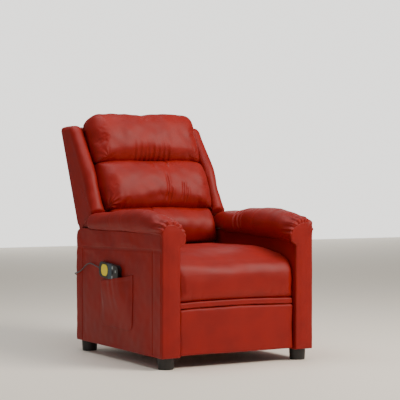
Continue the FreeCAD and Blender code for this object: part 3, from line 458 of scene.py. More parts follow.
def plate(front, back):
    # a closed sheet between two grids of the same size
    rows, cols = front.shape[:2]
    points = np.vstack([front.reshape(-1, 3), back.reshape(-1, 3)])
    offset = rows * cols
    faces = []
    for i in range(rows - 1):
        for j in range(cols - 1):
            a, b, c, d = i * cols + j, i * cols + j + 1, (i + 1) * cols + j + 1, (i + 1) * cols + j
            faces += [(a, b, c, d), (offset + d, offset + c, offset + b, offset + a)]
    rim = list(range(cols)) + [i * cols + cols - 1 for i in range(1, rows)]
    rim += [(rows - 1) * cols + j for j in range(cols - 2, -1, -1)]
    rim += [i * cols for i in range(rows - 2, 0, -1)]
    for a, b in zip(rim, rim[1:] + rim[:1]):
        faces.append((a, b, offset + b, offset + a))
    return points, faces


def readPoints(piece):
    flat = np.empty(len(piece.data.vertices) * 3)
    piece.data.vertices.foreach_get("co", flat)
    return flat.reshape(-1, 3)


def writePoints(piece, points):
    piece.data.vertices.foreach_set("co", points.ravel())
    piece.data.update()


def sculpt(piece, push):
    # moves each vertex along its normal by push(points), both in mm
    points = readPoints(piece)
    normals = np.empty(len(points) * 3)
    piece.data.vertices.foreach_get("normal", normals)
    writePoints(piece, points + normals.reshape(-1, 3) * (push(points / mm) * mm)[:, None])


def ripple(points, size, seed):
    # smooth random field of about -1 to 1, the same on each run
    dice = np.random.default_rng(seed)
    total = np.zeros(len(points))
    waves = 12
    for _ in range(waves):
        wave = dice.normal(size=3)
        wave *= 2 * math.pi / (size * np.linalg.norm(wave))
        total += np.sin(points @ wave + dice.uniform(0, 2 * math.pi))
    return total / math.sqrt(waves)


def fade(value, start, stop):
    t = np.clip((value - start) / (stop - start), 0, 1)
    return t * t * (3 - 2 * t)


def groove(distance, width):
    return np.exp(-(distance / width) ** 2)


def inflate(piece, voxel, cap, pressure=4.0, frames=20):
    # fills the cover with air as cloth, keeps the wrinkles this makes, and limits how far it moves
    scene = bpy.context.scene
    for other in bpy.context.selected_objects:
        other.select_set(False)
    bpy.context.view_layer.objects.active = piece
    piece.select_set(True)
    even = piece.modifiers.new("even", "REMESH")
    even.mode, even.voxel_size = "VOXEL", voxel * mm
    bpy.ops.object.modifier_apply(modifier=even.name)
    start = readPoints(piece)
    air = piece.modifiers.new("air", "CLOTH")
    air.settings.use_pressure = True
    air.settings.uniform_pressure_force = pressure
    air.settings.effector_weights.gravity = 0
    for number in range(1, frames + 1):
        scene.frame_set(number)
    swollen = piece.evaluated_get(bpy.context.evaluated_depsgraph_get()).to_mesh()
    flat = np.empty(len(swollen.vertices) * 3)
    swollen.vertices.foreach_get("co", flat)
    move = flat.reshape(-1, 3) - start
    length = np.linalg.norm(move, axis=1, keepdims=True)
    limit = cap * mm
    move *= limit * np.tanh(length / limit) / np.maximum(length, 1e-9)
    piece.modifiers.remove(air)
    scene.frame_set(1)
    writePoints(piece, start + move)
    finer = piece.modifiers.new("finer", "SUBSURF")
    finer.levels = finer.render_levels = 1
    bpy.ops.object.modifier_apply(modifier=finer.name)
    piece.data.shade_smooth()


# the back: profiles are drawn upright about the hinge and lean with it
hinge = np.array(joints["backrest_recline"]["pos_m"]) / mm
back = {"lean": math.radians(23), "half": 265, "lumbarHalf": 253, "wingHalf": 337, "wingInner": 273,
        "cushionRear": 14, "skinFront": 84, "skinRear": 91.7, "top": 697}


def leaned(points):
    # (x, to the rear, up the back) to the row frame
    x, rear, up = points[:, 0], points[:, 1], points[:, 2]
    cosLean, sinLean = math.cos(back["lean"]), math.sin(back["lean"])
    y = hinge[1] + rear * cosLean + up * sinLean
    z = hinge[2] - rear * sinLean + up * cosLean
    return np.column_stack([x, y, z])


def upright(points):
    x, y, z = points[:, 0], points[:, 1] - hinge[1], points[:, 2] - hinge[2]
    cosLean, sinLean = math.cos(back["lean"]), math.sin(back["lean"])
    return np.column_stack([x, y * cosLean - z * sinLean, y * sinLean + z * cosLean])


headRoll = {
    "centre": [(-61, 485), (-89, 494), (-107, 524), (-114, 580), (-113, 630), (-106, 674), (-88, 706),
               (-60, 724), (-28, 728), (0, 720), (14, 700), (14, 610), (14, 494), (-20, 490)],
    "end": [(-57, 487), (-57, 497), (-55, 526), (-52, 580), (-48, 625), (-44, 655), (-37, 677),
            (-26, 690), (-14, 695), (0, 694), (14, 684), (14, 610), (14, 495), (-20, 494)],
    "edge": 50, "folds": (-86, -60, -38, -17, 6, 33, 58, 84),
}
middleRoll = {
    "centre": [(-82, 250), (-106, 257), (-122, 282), (-129, 332), (-129, 378), (-122, 418), (-108, 452),
               (-86, 473), (-62, 482), (-20, 488), (14, 490), (14, 375), (14, 260), (-30, 259)],
    "end": [(-81, 251), (-81, 260), (-79, 282), (-75, 332), (-70, 378), (-65, 418), (-61, 452),
            (-58, 471), (-56, 481), (-20, 488), (14, 489), (14, 375), (14, 261), (-30, 260)],
    "edge": 58, "creases": ((24, 300, 120), (38, 285, 60), (102, 300, 70), (118, 292, 50), (60, 455, 40)),
}
lumbarRoll = {
    "centre": [(-88, 94), (-108, 100), (-122, 120), (-129, 148), (-130, 176), (-124, 203), (-113, 227),
               (-98, 241), (-81, 247), (-30, 254), (14, 256), (14, 175), (14, 94), (-40, 93)],
    "end": [(-87, 95), (-88, 102), (-88, 120), (-87, 148), (-86, 178), (-84, 206), (-83, 228),
            (-81, 240), (-79, 246), (-30, 254), (14, 255), (14, 175), (14, 95), (-40, 94)],
    "edge": 38,
}


def pillowFolds(points):
    # soft upright folds gathered above the lower seam, and a little unevenness all over
    x, rear, up = upright(points).T
    low = fade(up, 600, 505) * fade(rear, -40, -75)
    push = 2.2 * ripple(points, 190, 3) + 0.8 * ripple(points, 60, 4)
    for number, centre in enumerate(headRoll["folds"]):
        reach = 40 + 14 * math.sin(2.3 * number)
        lean = centre + 0.06 * (up - 500) * math.sin(1.7 * number)
        push -= low * 3.2 * groove(x - lean, 7.5) * fade(up, 520 + 1.5 * reach, 505)
        push += low * 1.4 * groove(x - lean - 11, 6)
    corner = groove(np.hypot(np.abs(x) - 232, up - 512), 34)
    push += corner * 0.9 * np.sin(np.arctan2(up - 495, np.abs(x) - 215) * 11)
    crown = 1 - (x / back["half"]) ** 2
    return push + 5 * crown * fade(rear, -40, -80)


def middleFolds(points):
    x, rear, up = upright(points).T
    front = fade(rear, -50, -85)
    push = 2.0 * ripple(points, 170, 7) + 0.7 * ripple(points, 55, 8)
    for centre, foot, reach in middleRoll["creases"]:
        bend = centre + 0.10 * (up - foot) + 4 * np.sin((up - foot) / 26)
        inside = fade(up, foot - 30, foot) * fade(up, foot + reach, foot + 0.6 * reach)
        push -= front * inside * 4.2 * groove(x - bend, 5.5)
        push += front * inside * 1.8 * groove(x - bend - 9, 6)
    low = fade(up, 330, 270)
    gather = 0.5 + 0.5 * np.sin(x / 6.5 + 2 * np.sin(x / 31))
    push -= front * low * 1.2 * gather * fade(np.abs(x), 40, 160)
    corner = groove(np.hypot(x + 244, up - 276), 26)
    push += corner * 3.2 * np.sin(np.arctan2(up - 262, x + 262) * 13)
    crown = 1 - (x / back["half"]) ** 2
    return push + 5 * crown * front


def lumbarFolds(points):
    x, rear, up = upright(points).T
    front = fade(rear, -55, -90)
    push = 1.8 * ripple(points, 150, 11) + 0.6 * ripple(points, 50, 12)
    bend = -60 + 0.7 * (up - 235) + 4 * np.sin(up / 15)
    push -= front * 3.0 * groove(x - bend, 5) * fade(up, 205, 235)
    return push + 4 * (1 - (x / back["lumbarHalf"]) ** 2) * front


def addRoll(name, node, roll, half, folds, step, cap):
    rings = profileRings(roll["centre"], roll["end"], half, roll["edge"], step, puff=2)
    points, faces = joinRings(rings)
    piece = makePiece(name, leaned(points), faces, "backrest")
    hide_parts(node)
    inflate(piece, 6, cap)
    sculpt(piece, folds)


addRoll("headCushion", "head_cushion", headRoll, back["half"], pillowFolds, 5, 7)
addRoll("middleCushion", "middle_cushion", middleRoll, back["half"], middleFolds, 5, 7)
addRoll("lumbarCushion", "lumbar_cushion", lumbarRoll, back["lumbarHalf"], lumbarFolds, 5, 6)
print("back cushions filled")

wing = {
    "middle": [(-86, 262), (-82, 356), (-77, 445), (-56, 540), (-34, 625), (-25, 662), (-12, 684), (8, 694),
               (36, 705), (62, 714), (78, 712), (83.5, 694), (83.5, 560), (83.5, 400), (83.5, 228),
               (72, 212), (45, 212), (20, 218), (-20, 220), (-52, 228), (-76, 243)],
    "edge": 30, "depth": 36, "topDepth": 27, "rearDepth": 7,
}


def insetLoop(points):
    # each point moved inwards, by less at the rear where the back panel joins
    line = np.array(points, float)
    ahead, behind = np.roll(line, -1, 0), np.roll(line, 1, 0)
    run = ahead - behind
    inward = np.column_stack([-run[:, 1], run[:, 0]]) / np.linalg.norm(run, axis=1)[:, None]
    if ((line - line.mean(0)) * inward).sum() > 0:
        inward = -inward
    tight = np.maximum(fade(line[:, 0], 30, 75), fade(line[:, 1], 275, 240))
    crown = fade(line[:, 1], 600, 690)
    amount = wing["depth"] + crown * (wing["topDepth"] - wing["depth"])
    amount = amount + tight * (wing["rearDepth"] - amount)
    return line + inward * amount[:, None]


def addWing(name, side):
    middle = side * (back["wingInner"] + back["wingHalf"]) / 2
    half = (back["wingHalf"] - back["wingInner"]) / 2
    ends = insetLoop(wing["middle"])
    rings = profileRings(wing["middle"], ends, half, wing["edge"], 6, puff=0, middle=middle)
    points, faces = joinRings(rings)
    piece = makePiece(f"wingPad_{name}", leaned(points), faces, "backrest")
    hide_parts(f"wing_{name}")

    def settle(where):
        flat = upright(where)
        front = fade(flat[:, 1], 0, -50)
        return 1.3 * ripple(where, 150, 21 + side) + 0.5 * front * ripple(where, 45, 23 + side)

    sculpt(piece, settle)


# loose skirt below each wing, down to the arm's top; it rides with the back
skirt = {
    "outline": [(194, 545), (197, 575), (190, 606), (214, 604), (252, 580), (281, 552), (268, 545),
                (232, 543)],
    "edge": 9, "endShare": 0.86, "clear": 3, "anchor": (-20, 226),
}


def addSkirt(name, side):
    middle = side * (back["wingInner"] + back["wingHalf"]) / 2
    half = (back["wingHalf"] - back["wingInner"]) / 2 - skirt["clear"]
    outline = np.array(skirt["outline"], float)
    centre = outline.mean(0)
    ends = centre + (outline - centre) * skirt["endShare"]
    rings = profileRings(skirt["outline"], ends.tolist(), half, skirt["edge"], 5, puff=1, middle=middle)
    points, faces = joinRings(rings)
    piece = makePiece(f"wingSkirt_{name}", points, faces, "backrest")
    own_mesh(piece)


for name, side in sides.items():
    addWing(name, side)
    addSkirt(name, side)

# rear cover of the back: one panel with rounded edges, and a cap that closes the top between the wings
rearCover = {"low": 34, "waist": 232, "narrow": 256, "seam": 312, "seamTaper": 0.22, "bulge": 5}
topCap = {"clear": 2, "gap": 5, "below": 38, "slope": 0.3}


def addRearCover():
    low = (-back["wingHalf"] + 2, back["skinFront"] - 4, rearCover["low"])
    high = (back["wingHalf"] - 2, back["skinRear"], back["top"] + 12)
    seams = ((-rearCover["seam"], rearCover["seam"]), (), (rearCover["waist"] + 40,))
    points, faces = softBox(low, high, (6, 5, 6), 9, seams)
    x, rear, up = points.T
    taper = fade(up, rearCover["waist"] + 14, rearCover["waist"] - 14)
    limit = back["wingHalf"] - 2
    x = x * (1 - taper * (1 - rearCover["narrow"] / limit))
    puff = (1 - (x / limit) ** 2) * fade(up, low[2], low[2] + 160) * fade(up, high[2], high[2] - 120)
    outer = rear > back["skinRear"] - 3
    rear = rear + np.where(outer, rearCover["bulge"] * puff, 0)
    seamX = rearCover["seam"] * (1 - taper * rearCover["seamTaper"])
    seam = np.minimum(np.abs(np.abs(x) - seamX), np.abs(up - seams[2][0]))
    rear = rear - np.where(outer, 2.0 * groove(seam, 2.2) - 0.8 * groove(seam - 7, 4), 0)
    piece = makePiece("rearCover", leaned(np.column_stack([x, rear, up])), faces, "backrest")
    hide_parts("back_panel")


def addTopCap():
    clear, gap = topCap["clear"], topCap["gap"]
    low = (-back["wingInner"] + clear, back["cushionRear"] + clear, back["top"] - topCap["below"])
    high = (back["wingInner"] - clear, back["skinFront"] - gap, back["top"] - gap)
    points, faces = softBox(low, high, (6, 14, 12), 12)
    points[:, 2] += topCap["slope"] * (points[:, 1] - low[1]) * fade(points[:, 2], low[2] + 6, high[2] - 6)
    points[:, 2] += 3 * (1 - (points[:, 0] / high[0]) ** 2) + 0.8 * ripple(points, 90, 31)
    piece = makePiece("topCap", leaned(points), faces, "backrest")


addRearCover()
addTopCap()
print("wings and rear cover made")

# the seat, the band under it and the footrest
seat = {
    "half": 270, "edge": 14, "endShare": 0.35, "folds": (-214, -170, 158, 196, 224),
    "centre": [(96, 434), (80, 455), (0, 462), (-100, 465), (-200, 464), (-300, 459), (-375, 449),
               (-430, 434), (-468, 411), (-487, 378), (-491, 340), (-490, 300), (-487, 271), (-475, 254),
               (-452, 256), (-440, 296), (-380, 311), (-200, 311), (0, 311), (86, 314), (97, 370)],
    "end": [(94, 428), (80, 445), (0, 453), (-100, 455), (-200, 454), (-300, 448), (-373, 438),
            (-426, 424), (-461, 402), (-479, 371), (-483, 337), (-483, 300), (-481, 273), (-473, 257),
            (-452, 259), (-441, 298), (-380, 312), (-200, 312), (0, 312), (84, 316), (92, 370)],
}


def seatFolds(points):
    x, y, z = points.T
    top = fade(z, 400, 440)
    front = fade(y, -440, -478)
    push = 2.4 * ripple(points, 210, 41) + 0.6 * ripple(points, 60, 42)
    push += 4 * (1 - (x / seat["half"]) ** 2) * np.maximum(top, front)
    for number, centre in enumerate(seat["folds"]):
        bend = centre + 10 * math.sin(number) * (z - 300) / 100
        push -= front * 1.5 * groove(x - bend, 9) * fade(z, 330, 285)
    dip = groove(np.hypot(x, (y + 150) * 0.9), 170)
    return (push - 5 * dip * top) * fade(z, 264, 285)


def bow(points):
    # the front edge stands a little higher in the middle
    return 6 * (1 - (points[:, 0] / seat["half"]) ** 2)


def addSeat():
    share = seat["endShare"]
    ends = np.array(seat["centre"]) * (1 - share) + np.array(seat["end"]) * share
    rings = profileRings(seat["centre"], ends.tolist(), seat["half"], seat["edge"], 6, puff=1)
    points, faces = joinRings(rings)
    points[:, 2] += bow(points) * fade(points[:, 1], -380, -470) * fade(points[:, 2], 420, 300)
    piece = makePiece("seatCushion", points, faces, "root")
    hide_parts("seat_cushion")
    inflate(piece, 7, 7)
    sculpt(piece, seatFolds)


def addBand():
    low, high = boxMm("front_band")
    points, faces = softBox(low, high, (5, 7, 7), 8)
    points[:, 2] += bow(points)
    points[:, 1] -= 1.2 * (1 - (points[:, 0] / seat["half"]) ** 2)
    piece = makePiece("frontBand", points, faces, "root")
    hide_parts("front_band")
    sculpt(piece, lambda where: 0.5 * ripple(where, 70, 51))


footrest = {"edge": 8, "crown": 5}


def addFootrest():
    padLow, padHigh = boxMm("footrest_pad")
    low, high = padLow.copy(), padHigh.copy()
    high[1] = boxMm("footrest_board")[1][1]
    points, faces = softBox(low, high, (7, footrest["edge"], footrest["edge"]), 7)
    middle, tall = (low[2] + high[2]) / 2, (high[2] - low[2]) / 2
    front = fade(points[:, 1], low[1] + 14, low[1] + 2)
    puff = (1 - (points[:, 0] / high[0]) ** 4) * (1 - ((points[:, 2] - middle) / tall) ** 4)
    points[:, 2] += bow(points) * fade(points[:, 2], middle, high[2] - 4)
    points[:, 1] -= front * footrest["crown"] * puff
    piece = makePiece("footrestPad", points, faces, "footrest")
    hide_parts("footrest_pad", "footrest_board")

    def settle(where):
        face = fade(where[:, 1], low[1] + 14, low[1] + 2)
        edge = np.minimum(where[:, 2] - low[2], high[2] - where[:, 2])
        edge = np.minimum(edge, high[0] - np.abs(where[:, 0]))
        return face * (1.5 * ripple(where, 160, 55) + 0.5 * ripple(where, 40, 56) * fade(edge, 50, 5))

    sculpt(piece, settle)


addSeat()
addBand()
addFootrest()
print("seat, band and footrest made")

# the arms
arm = {
    "inner": 272.5, "outer": 357.5, "front": -500, "rear": 291, "low": 46.4, "top": 540, "corner": 40,
    "edge": 5.5, "seamRear": 230, "seamFront": -427, "seamHighRear": 455, "seamHighFront": 470,
    "seamMiddle": 462, "groove": 2.4, "puff": 2.6, "seed": {-1: 61, 1: 65},
}
armMiddle = (arm["inner"] + arm["outer"]) / 2


def yokeSeam(y):
    share = (arm["seamRear"] - y) / (arm["seamRear"] - arm["seamFront"])
    return arm["seamHighRear"] + share * (arm["seamHighFront"] - arm["seamHighRear"])


def armRelief(y, z, seed):
    # how far the outer cover stands off its board: pulled in at the seams and soft between them
    below = z < yokeSeam(y)
    away = np.abs(z - yokeSeam(y))
    toUpright = np.minimum(np.abs(y - arm["seamRear"]), np.abs(y - arm["seamFront"]))
    away = np.where(below, np.minimum(away, toUpright), away)
    inPanel = below & (y < arm["seamRear"]) & (y > arm["seamFront"])
    rim = np.minimum(z - arm["low"], away)
    soft = np.where(inPanel, fade(rim, 0, 60), 0.35 * fade(rim, 0, 25))
    where = np.column_stack([np.zeros_like(y), y, z])
    slack = 1.4 * ripple(where, 230, seed) + 0.35 * ripple(where, 48, seed + 1)
    return arm["puff"] * soft + slack * fade(away, 0, 30) - arm["groove"] * groove(away, 2.3)


def addArmCover(name, side):
    low = (arm["inner"], arm["front"], arm["low"])
    high = (arm["outer"], arm["rear"], arm["top"])
    marks = ((), (arm["seamRear"], arm["seamFront"]), ())
    points, faces = softBox(low, high, arm["edge"], 6, marks)
    x, y, z = points.T
    # grid rows near the yoke seam follow its slope
    near = groove(z - arm["seamMiddle"], 60)
    z = z + near * (yokeSeam(np.clip(y, arm["seamFront"], arm["seamRear"])) - arm["seamMiddle"])
    a = np.clip((y - (arm["rear"] - arm["corner"])) / arm["corner"], 0, 1)
    b = np.clip((z - (arm["top"] - arm["corner"])) / arm["corner"], 0, 1)
    both = (a > 0) & (b > 0)
    y = np.where(both, arm["rear"] - arm["corner"] + arm["corner"] * a * np.sqrt(1 - b * b / 2), y)
    z = np.where(both, arm["top"] - arm["corner"] + arm["corner"] * b * np.sqrt(1 - a * a / 2), z)
    outside = fade(x, arm["outer"] - 6, arm["outer"] - 1)
    x = x + outside * armRelief(y, z, arm["seed"][side])
    piece = makePiece(f"armCover_{name}", np.column_stack([side * x, y, z]), faces, "root")
    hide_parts(f"arm_cover_{name}")


# front panel of the arm: straight below, with a mushroom head that the pad is gathered onto
armFront = {
    "front": -508, "back": -497, "round": 7, "low": 47, "high": 577.5, "bulge": 2.2,
    "innerLine": [(47, -42), (480, -42), (486, -47), (491, -58), (499, -65), (514, -68), (530, -66),
                  (543, -60), (554, -51), (562, -40), (569, -28), (575, -12), (577.5, 0)],
    "outerLine": [(47, 42), (526, 42), (534, 43.5), (543, 43), (554, 38), (562, 33), (569, 26),
                  (574, 18), (576.5, 11), (577.5, 4)],
}


def addArmFront(name, side):
    inner, outer = np.array(armFront["innerLine"]), np.array(armFront["outerLine"])
    low, high, bend = armFront["low"], armFront["high"], armFront["round"]
    rows = np.concatenate([np.linspace(low, 53, 5), np.linspace(60, 474, 60), np.linspace(478, high, 42)])
    left, right = np.interp(rows, inner[:, 0], inner[:, 1]), np.interp(rows, outer[:, 0], outer[:, 1])
    cols = np.sin(np.linspace(-math.pi / 2, math.pi / 2, 27))
    front = np.zeros((len(rows), len(cols), 3))
    for i, z in enumerate(rows):
        x = (left[i] + right[i]) / 2 + (right[i] - left[i]) / 2 * cols
        edge = np.minimum(np.minimum(x - left[i], right[i] - x), min(z - low, high - z))
        gap = np.clip(bend - edge, 0, bend)
        drop = bend - np.sqrt(bend ** 2 - gap ** 2)
        puff = armFront["bulge"] * fade(edge, 4, 34)
        y = armFront["front"] + drop - puff
        front[i] = np.column_stack([side * (armMiddle + x), y, np.full(len(x), z)])
    rear = front.copy()
    rear[:, :, 1] = armFront["back"]
    flat = front.reshape(-1, 3)
    flat[:, 1] += 0.8 * ripple(flat, 120, 71 + side)
    front = flat.reshape(front.shape)
    points, faces = plate(front, rear)
    piece = makePiece(f"armFront_{name}", points, faces, "root")


# pad on top of the arm: sections across, from the rounded rear end to the gathered nose
armPad = {
    "section": [(-43, 0.0), (-58, 0.02), (-67, 0.16), (-68.5, 0.36), (-62, 0.62), (-42, 0.86), (-10, 0.985),
                (18, 0.985), (41, 0.83), (51, 0.54), (53.5, 0.28), (50, 0.06), (42, 0.0), (30, -0.06),
                (-30, 0.25)],
    "crown": [(188, 602), (120, 608), (0, 615), (-100, 624), (-210, 628), (-310, 627), (-410, 612),
              (-480, 593)],
    "innerLow": [(188, 527), (0, 517), (-200, 508), (-400, 500), (-480, 492)],
    "outerLow": [(188, 540), (0, 540), (-200, 541), (-400, 537), (-480, 533)],
    "nose": [(-43, 491), (-56, 490), (-65, 500), (-68, 516), (-62, 538), (-43, 562), (-13, 579),
             (12, 581), (32, 569), (42, 550), (43.5, 539), (43, 533), (41, 529), (28, 522), (-28, 508)],
    "noseStart": -468, "noseEnd": -507, "rearEnd": 186, "rearRound": 34, "rearMiddle": (-7, 572),
    "taper": 0.27,
    "creases": {1: ((-50, 14, 2.8), (-88, 18, 3.2), (-114, 12, 2.2), (-210, 18, 0.8)),
                -1: ((-60, 14, 0.4), (-170, 16, 0.4))},
}


def padSection(y):
    lines = (np.array(armPad[key][::-1], float) for key in ("crown", "innerLow", "outerLow"))
    crown, inner, outer = (np.interp(y, line[:, 0], line[:, 1]) for line in lines)
    ring = []
    # the inner side draws in at the rear, to leave room for the lumbar cushion
    taper = 1 - armPad["taper"] * fade(y, 0, 110)
    for x, share in armPad["section"]:
        low = inner if x < 0 else outer
        ring.append((x * taper if x < 0 else x, low + share * (crown - low)))
    return ring


def addArmPad(name, side):
    places = evenPlaces(padSection(-200), 4)
    rings = []
    for turn in np.linspace(math.pi / 2, 0, 9)[1:]:
        y = armPad["rearEnd"] - armPad["rearRound"] * (1 - math.sin(turn))
        loop = onCurve(padSection(y), places)
        middle = np.array(armPad["rearMiddle"])
        loop = middle + (loop - middle) * (0.35 + 0.65 * math.cos(turn))
        rings.append((y, loop))
    body = armPad["rearEnd"] - armPad["rearRound"]
    for y in np.linspace(body, armPad["noseStart"], 150)[1:]:
        rings.append((y, onCurve(padSection(y), places)))
    nose = onCurve(armPad["nose"], places)
    start = onCurve(padSection(armPad["noseStart"]), places)
    long = armPad["noseStart"] - armPad["noseEnd"]
    for turn in np.linspace(0, math.pi / 2, 16)[1:]:
        rings.append((armPad["noseStart"] - long * math.sin(turn), nose + (start - nose) * math.cos(turn)))
    solid = [np.column_stack([side * (armMiddle + loop[:, 0]), np.full(len(loop), y), loop[:, 1]])
             for y, loop in rings]
    points, faces = joinRings(solid)
    piece = makePiece(f"armPad_{name}", points, faces, "root")
    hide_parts(f"arm_pad_{name}")

    def folds(where):
        x = side * where[:, 0] - armMiddle
        y, z = where[:, 1], where[:, 2]
        around = np.arctan2(z - 545, x + 8)
        push = 1.7 * ripple(where, 140, 81 + side) + 0.25 * ripple(where, 52, 83 + side)
        nose = fade(y, -415, -478) * fade(z, 492, 515)
        pleat = np.sin(around * 12.5 + 1.3 * np.sin(around * 3.1 + side) + 0.5 * side)
        push += nose * (2.3 * pleat - 1.0)
        near = groove(y + 495, 16) * fade(z, 492, 515)
        push += near * 0.6 * np.sin(around * 25 + 2 * np.sin(around * 5))
        inner = fade(x, 20, -30) * fade(z, 520, 545) if side > 0 else fade(z, 545, 575)
        for centre, sway, depth in armPad["creases"][side]:
            bend = centre + sway * np.sin((z - 560) / 34)
            push -= inner * depth * groove(y - bend, 5.5) - inner * 0.5 * depth * groove(y - bend - 10, 6)
        return push

    inflate(piece, 5, 4, 3.0)
    sculpt(piece, folds)


for name, side in sides.items():
    addArmCover(name, side)
    addArmFront(name, side)
    addArmPad(name, side)
print("arms covered")

# the side pocket
pocket = {
    "front": -260, "rear": 34, "low": 134,
    "mouth": [(-260, 364), (-200, 352), (-125, 342), (-40, 330), (34, 321)],
    "corner": 34, "cloth": 1.6, "hem": 3.2, "hemFrom": 0.935, "room": 20.5, "fullAt": -75, "foldAt": -105,
    "outermost": -383.5,
}


def addPocket():
    mouth = np.array(pocket["mouth"], float)
    across = np.linspace(0, 1, 84)
    upward = np.concatenate([np.linspace(0, 0.93, 62), np.linspace(0.945, 1, 6)])
    front = np.zeros((len(upward), len(across), 3))
    for i, v in enumerate(upward):
        y = pocket["front"] + across * (pocket["rear"] - pocket["front"])
        top = np.interp(y, mouth[:, 0], mouth[:, 1])
        # rounded lower corners: the bottom line rises towards both ends
        edge = np.minimum(y - pocket["front"], pocket["rear"] - y)
        short = np.clip(pocket["corner"] - edge, 0, pocket["corner"])
        floor = pocket["low"] + pocket["corner"] - np.sqrt(pocket["corner"] ** 2 - short ** 2)
        z = floor + v * (top - floor)
        lift = fade(edge, 0, 46) * fade(z - floor, 0, 120)
        hold = fade(np.abs(y - pocket["fullAt"]), 150, 70)
        off = 0.2 + (pocket["room"] - 0.2) * lift * (0.25 + 0.75 * hold * fade(v, 0.25, 0.9))
        fold = np.sin(y / 7.5 + 0.6 * np.sin(z / 30)) * groove(y - pocket["foldAt"], 50)
        fold = fold * fade(v, 0.15, 0.9) * lift
        off = off + 1.3 * fold + 0.5 * np.sin(y / 21 + 1) * lift
        wall = -arm["outer"] - np.maximum(armRelief(y, z, arm["seed"][-1]), 0) - 0.5
        front[i] = np.column_stack([wall - off - pocket["cloth"], y, z])
    front[:, :, 0] = np.maximum(front[:, :, 0], pocket["outermost"])
    hem = upward > pocket["hemFrom"]
    thick = np.where(hem, pocket["hem"], pocket["cloth"])[:, None]
    rear = front.copy()
    rear[:, :, 0] += thick
    front[:, :, 0] -= np.where(hem, 0.7, 0.0)[:, None]
    points, faces = plate(front, rear)
    piece = makePiece("sidePocket", points, faces, "root")
    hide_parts("side_pocket")


addPocket()
print("pocket sewn on")

# top stitching on the outer sides of the arms
stitch = {"long": 5.2, "gap": 2.0, "radius": 0.55, "beside": 4.5}


def stitchRun(path, lift):
    # short raised threads laid end to end along a path of points in mm
    path = np.array(path, float)
    walk = np.concatenate([[0], np.cumsum(np.linalg.norm(np.diff(path, axis=0), axis=1))])
    pitch = stitch["long"] + stitch["gap"]
    points, faces = [], []
    for start in np.arange(0, walk[-1] - stitch["long"], pitch):
        ends = [np.array([np.interp(at, walk, path[:, k]) for k in range(3)])
                for at in np.linspace(start, start + stitch["long"], 4)]
        along = (ends[-1] - ends[0]) / np.linalg.norm(ends[-1] - ends[0])
        sideways = np.cross(along, lift)
        base = len(points)
        for spot, size in zip(ends, (0.45, 1.0, 1.0, 0.45)):
            for k in range(6):
                turn = k * math.pi / 3
                outwards = sideways * math.cos(turn) + lift * math.sin(turn)
                points.append(spot + stitch["radius"] * size * outwards)
        for r in range(3):
            for k in range(6):
                n = (k + 1) % 6
                low, high = base + 6 * r, base + 6 * r + 6
                faces.append((low + k, low + n, high + n, high + k))
        faces += [tuple(base + k for k in range(5, -1, -1)), tuple(base + 18 + k for k in range(6))]
    return np.array(points), faces


def addArmStitches(name, side):
    runs = []
    beside = stitch["beside"]
    for y, way in ((arm["seamRear"], -1), (arm["seamFront"], 1)):
        z = np.linspace(arm["low"] + 12, yokeSeam(y) - beside, 90)
        runs.append((np.full(90, y + way * beside), z))
    y = np.linspace(arm["seamRear"] - beside, arm["seamFront"] + beside, 120)
    runs.append((y, yokeSeam(y) + beside))
    allPoints, allFaces = [], []
    for y, z in runs:
        x = arm["outer"] + armRelief(y, z, arm["seed"][side]) + 0.15
        points, faces = stitchRun(np.column_stack([side * x, y, z]), np.array([side, 0, 0.0]))
        offset = sum(len(p) for p in allPoints)
        allPoints.append(points)
        allFaces += [tuple(i + offset for i in face) for face in faces]
    makePiece(f"armStitches_{name}", np.vstack(allPoints), allFaces, "root", redThread)


for name, side in sides.items():
    addArmStitches(name, side)
print("seams stitched")


# the flap that closes the gap between the rear panel and the back
flap = {"thick": 2.0, "inset": 14, "lapLow": 10, "lapHigh": 14, "slack": 3.0, "rows": 14, "cols": 60}


def addFlap():
    high = boxMm("rear_panel")[1]
    start = np.array([0, high[1] + 1.2, high[2] - flap["lapLow"]])
    end = leaned(np.array([[0, back["skinRear"] + 1.5, rearCover["low"] + flap["lapHigh"]]]))[0]
    half = high[0] - flap["inset"]
    rows, cols = flap["rows"], flap["cols"]
    front = np.zeros((rows, cols, 3))
    for i, t in enumerate(np.linspace(0, 1, rows)):
        x = np.linspace(-half, half, cols)
        spot = start + (end - start) * t
        slack = math.sin(math.pi * t) * (5 + 1.5 * np.sin(x / 28) + np.sin(x / 11))
        front[i] = np.column_stack([x, spot[1] + slack, np.full(cols, spot[2])])
    rear = front.copy()
    rear[:, :, 1] -= flap["thick"]
    points, faces = plate(front, rear)
    mesh = makePiece("rearFlap", points, faces, "root")
    # the flap spans two bodies and rides with neither, so the ride that makePiece gave it is taken off
    # again
    mesh.parent = None
    del mesh["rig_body"]
    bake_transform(mesh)


addFlap()
print("rear closed")


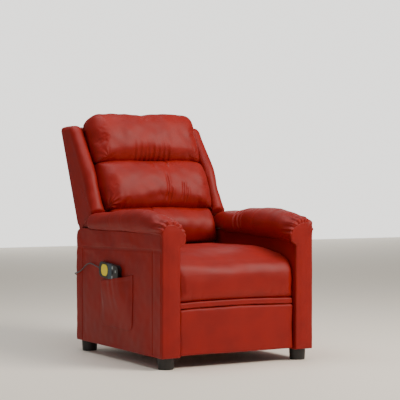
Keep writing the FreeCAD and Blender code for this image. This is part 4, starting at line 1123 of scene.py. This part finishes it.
# floor and light
room = {  # metres
    "floor": "#F6EFE2", "wall": "#F0EEEA", "reach": 9, "wallFrom": 1.2, "wallBack": 8.8, "wallTall": 6,
    "world": 0.28, "glow": 2.2, "aim": (0, 0, 0.5),
}
# name, place and width in metres, watts and colour
lights = (
    ("keyLight", (2.0, -3.0, 3.5), 2.4, 215, "#FFF6EC"),
    ("topLight", (-0.4, 0.2, 3.2), 2.6, 55, "#FFFFFF"),
    ("fillLight", (-3.4, -2.2, 1.6), 2.6, 9, "#F2F5FF"),
)


def addStage(name, corners, material):
    mesh = bpy.data.meshes.new(name)
    mesh.from_pydata(corners, [], [(0, 1, 2, 3)])
    piece = bpy.data.objects.new(name, mesh)
    bpy.context.scene.collection.objects.link(piece)
    mesh.materials.append(material)


def addLight(name, at, size, power, colour):
    data = bpy.data.lights.new(name, "AREA")
    data.shape, data.size, data.energy, data.color = "DISK", size, power, toLinear(colour)[:3]
    lamp = bpy.data.objects.new(name, data)
    lamp.location = at
    lamp.rotation_euler = (Vector(room["aim"]) - Vector(at)).to_track_quat("-Z", "Y").to_euler()
    bpy.context.scene.collection.objects.link(lamp)


far, wallX, wallY, wallTop = room["reach"], room["wallFrom"], room["wallBack"], room["wallTall"]
paleFloor = startMaterial("paleFloor", {"Roughness": 0.85, "Base Color": toLinear(room["floor"])})[0]
addStage("floor", [(-far, -far, 0), (far, -far, 0), (far, far, 0), (-far, far, 0)], paleFloor)
# the wall only glows, and stands to the right, so that it doesn't whiten the chair's left side
paleWall = startMaterial("paleWall", {"Roughness": 0.9, "Base Color": toLinear("#000000"),
                                      "Emission Color": toLinear(room["wall"]),
                                      "Emission Strength": room["glow"]})[0]
addStage("wall", [(wallX, wallY, 0), (far, wallY, 0), (far, wallY, wallTop), (wallX, wallY, wallTop)],
         paleWall)
for light in lights:
    addLight(*light)
world = bpy.data.worlds.new("studio")
world.use_nodes = True
world.node_tree.nodes["Background"].inputs["Color"].default_value = toLinear(room["wall"])
world.node_tree.nodes["Background"].inputs["Strength"].default_value = room["world"]
bpy.context.scene.world = world
print("stage lit")
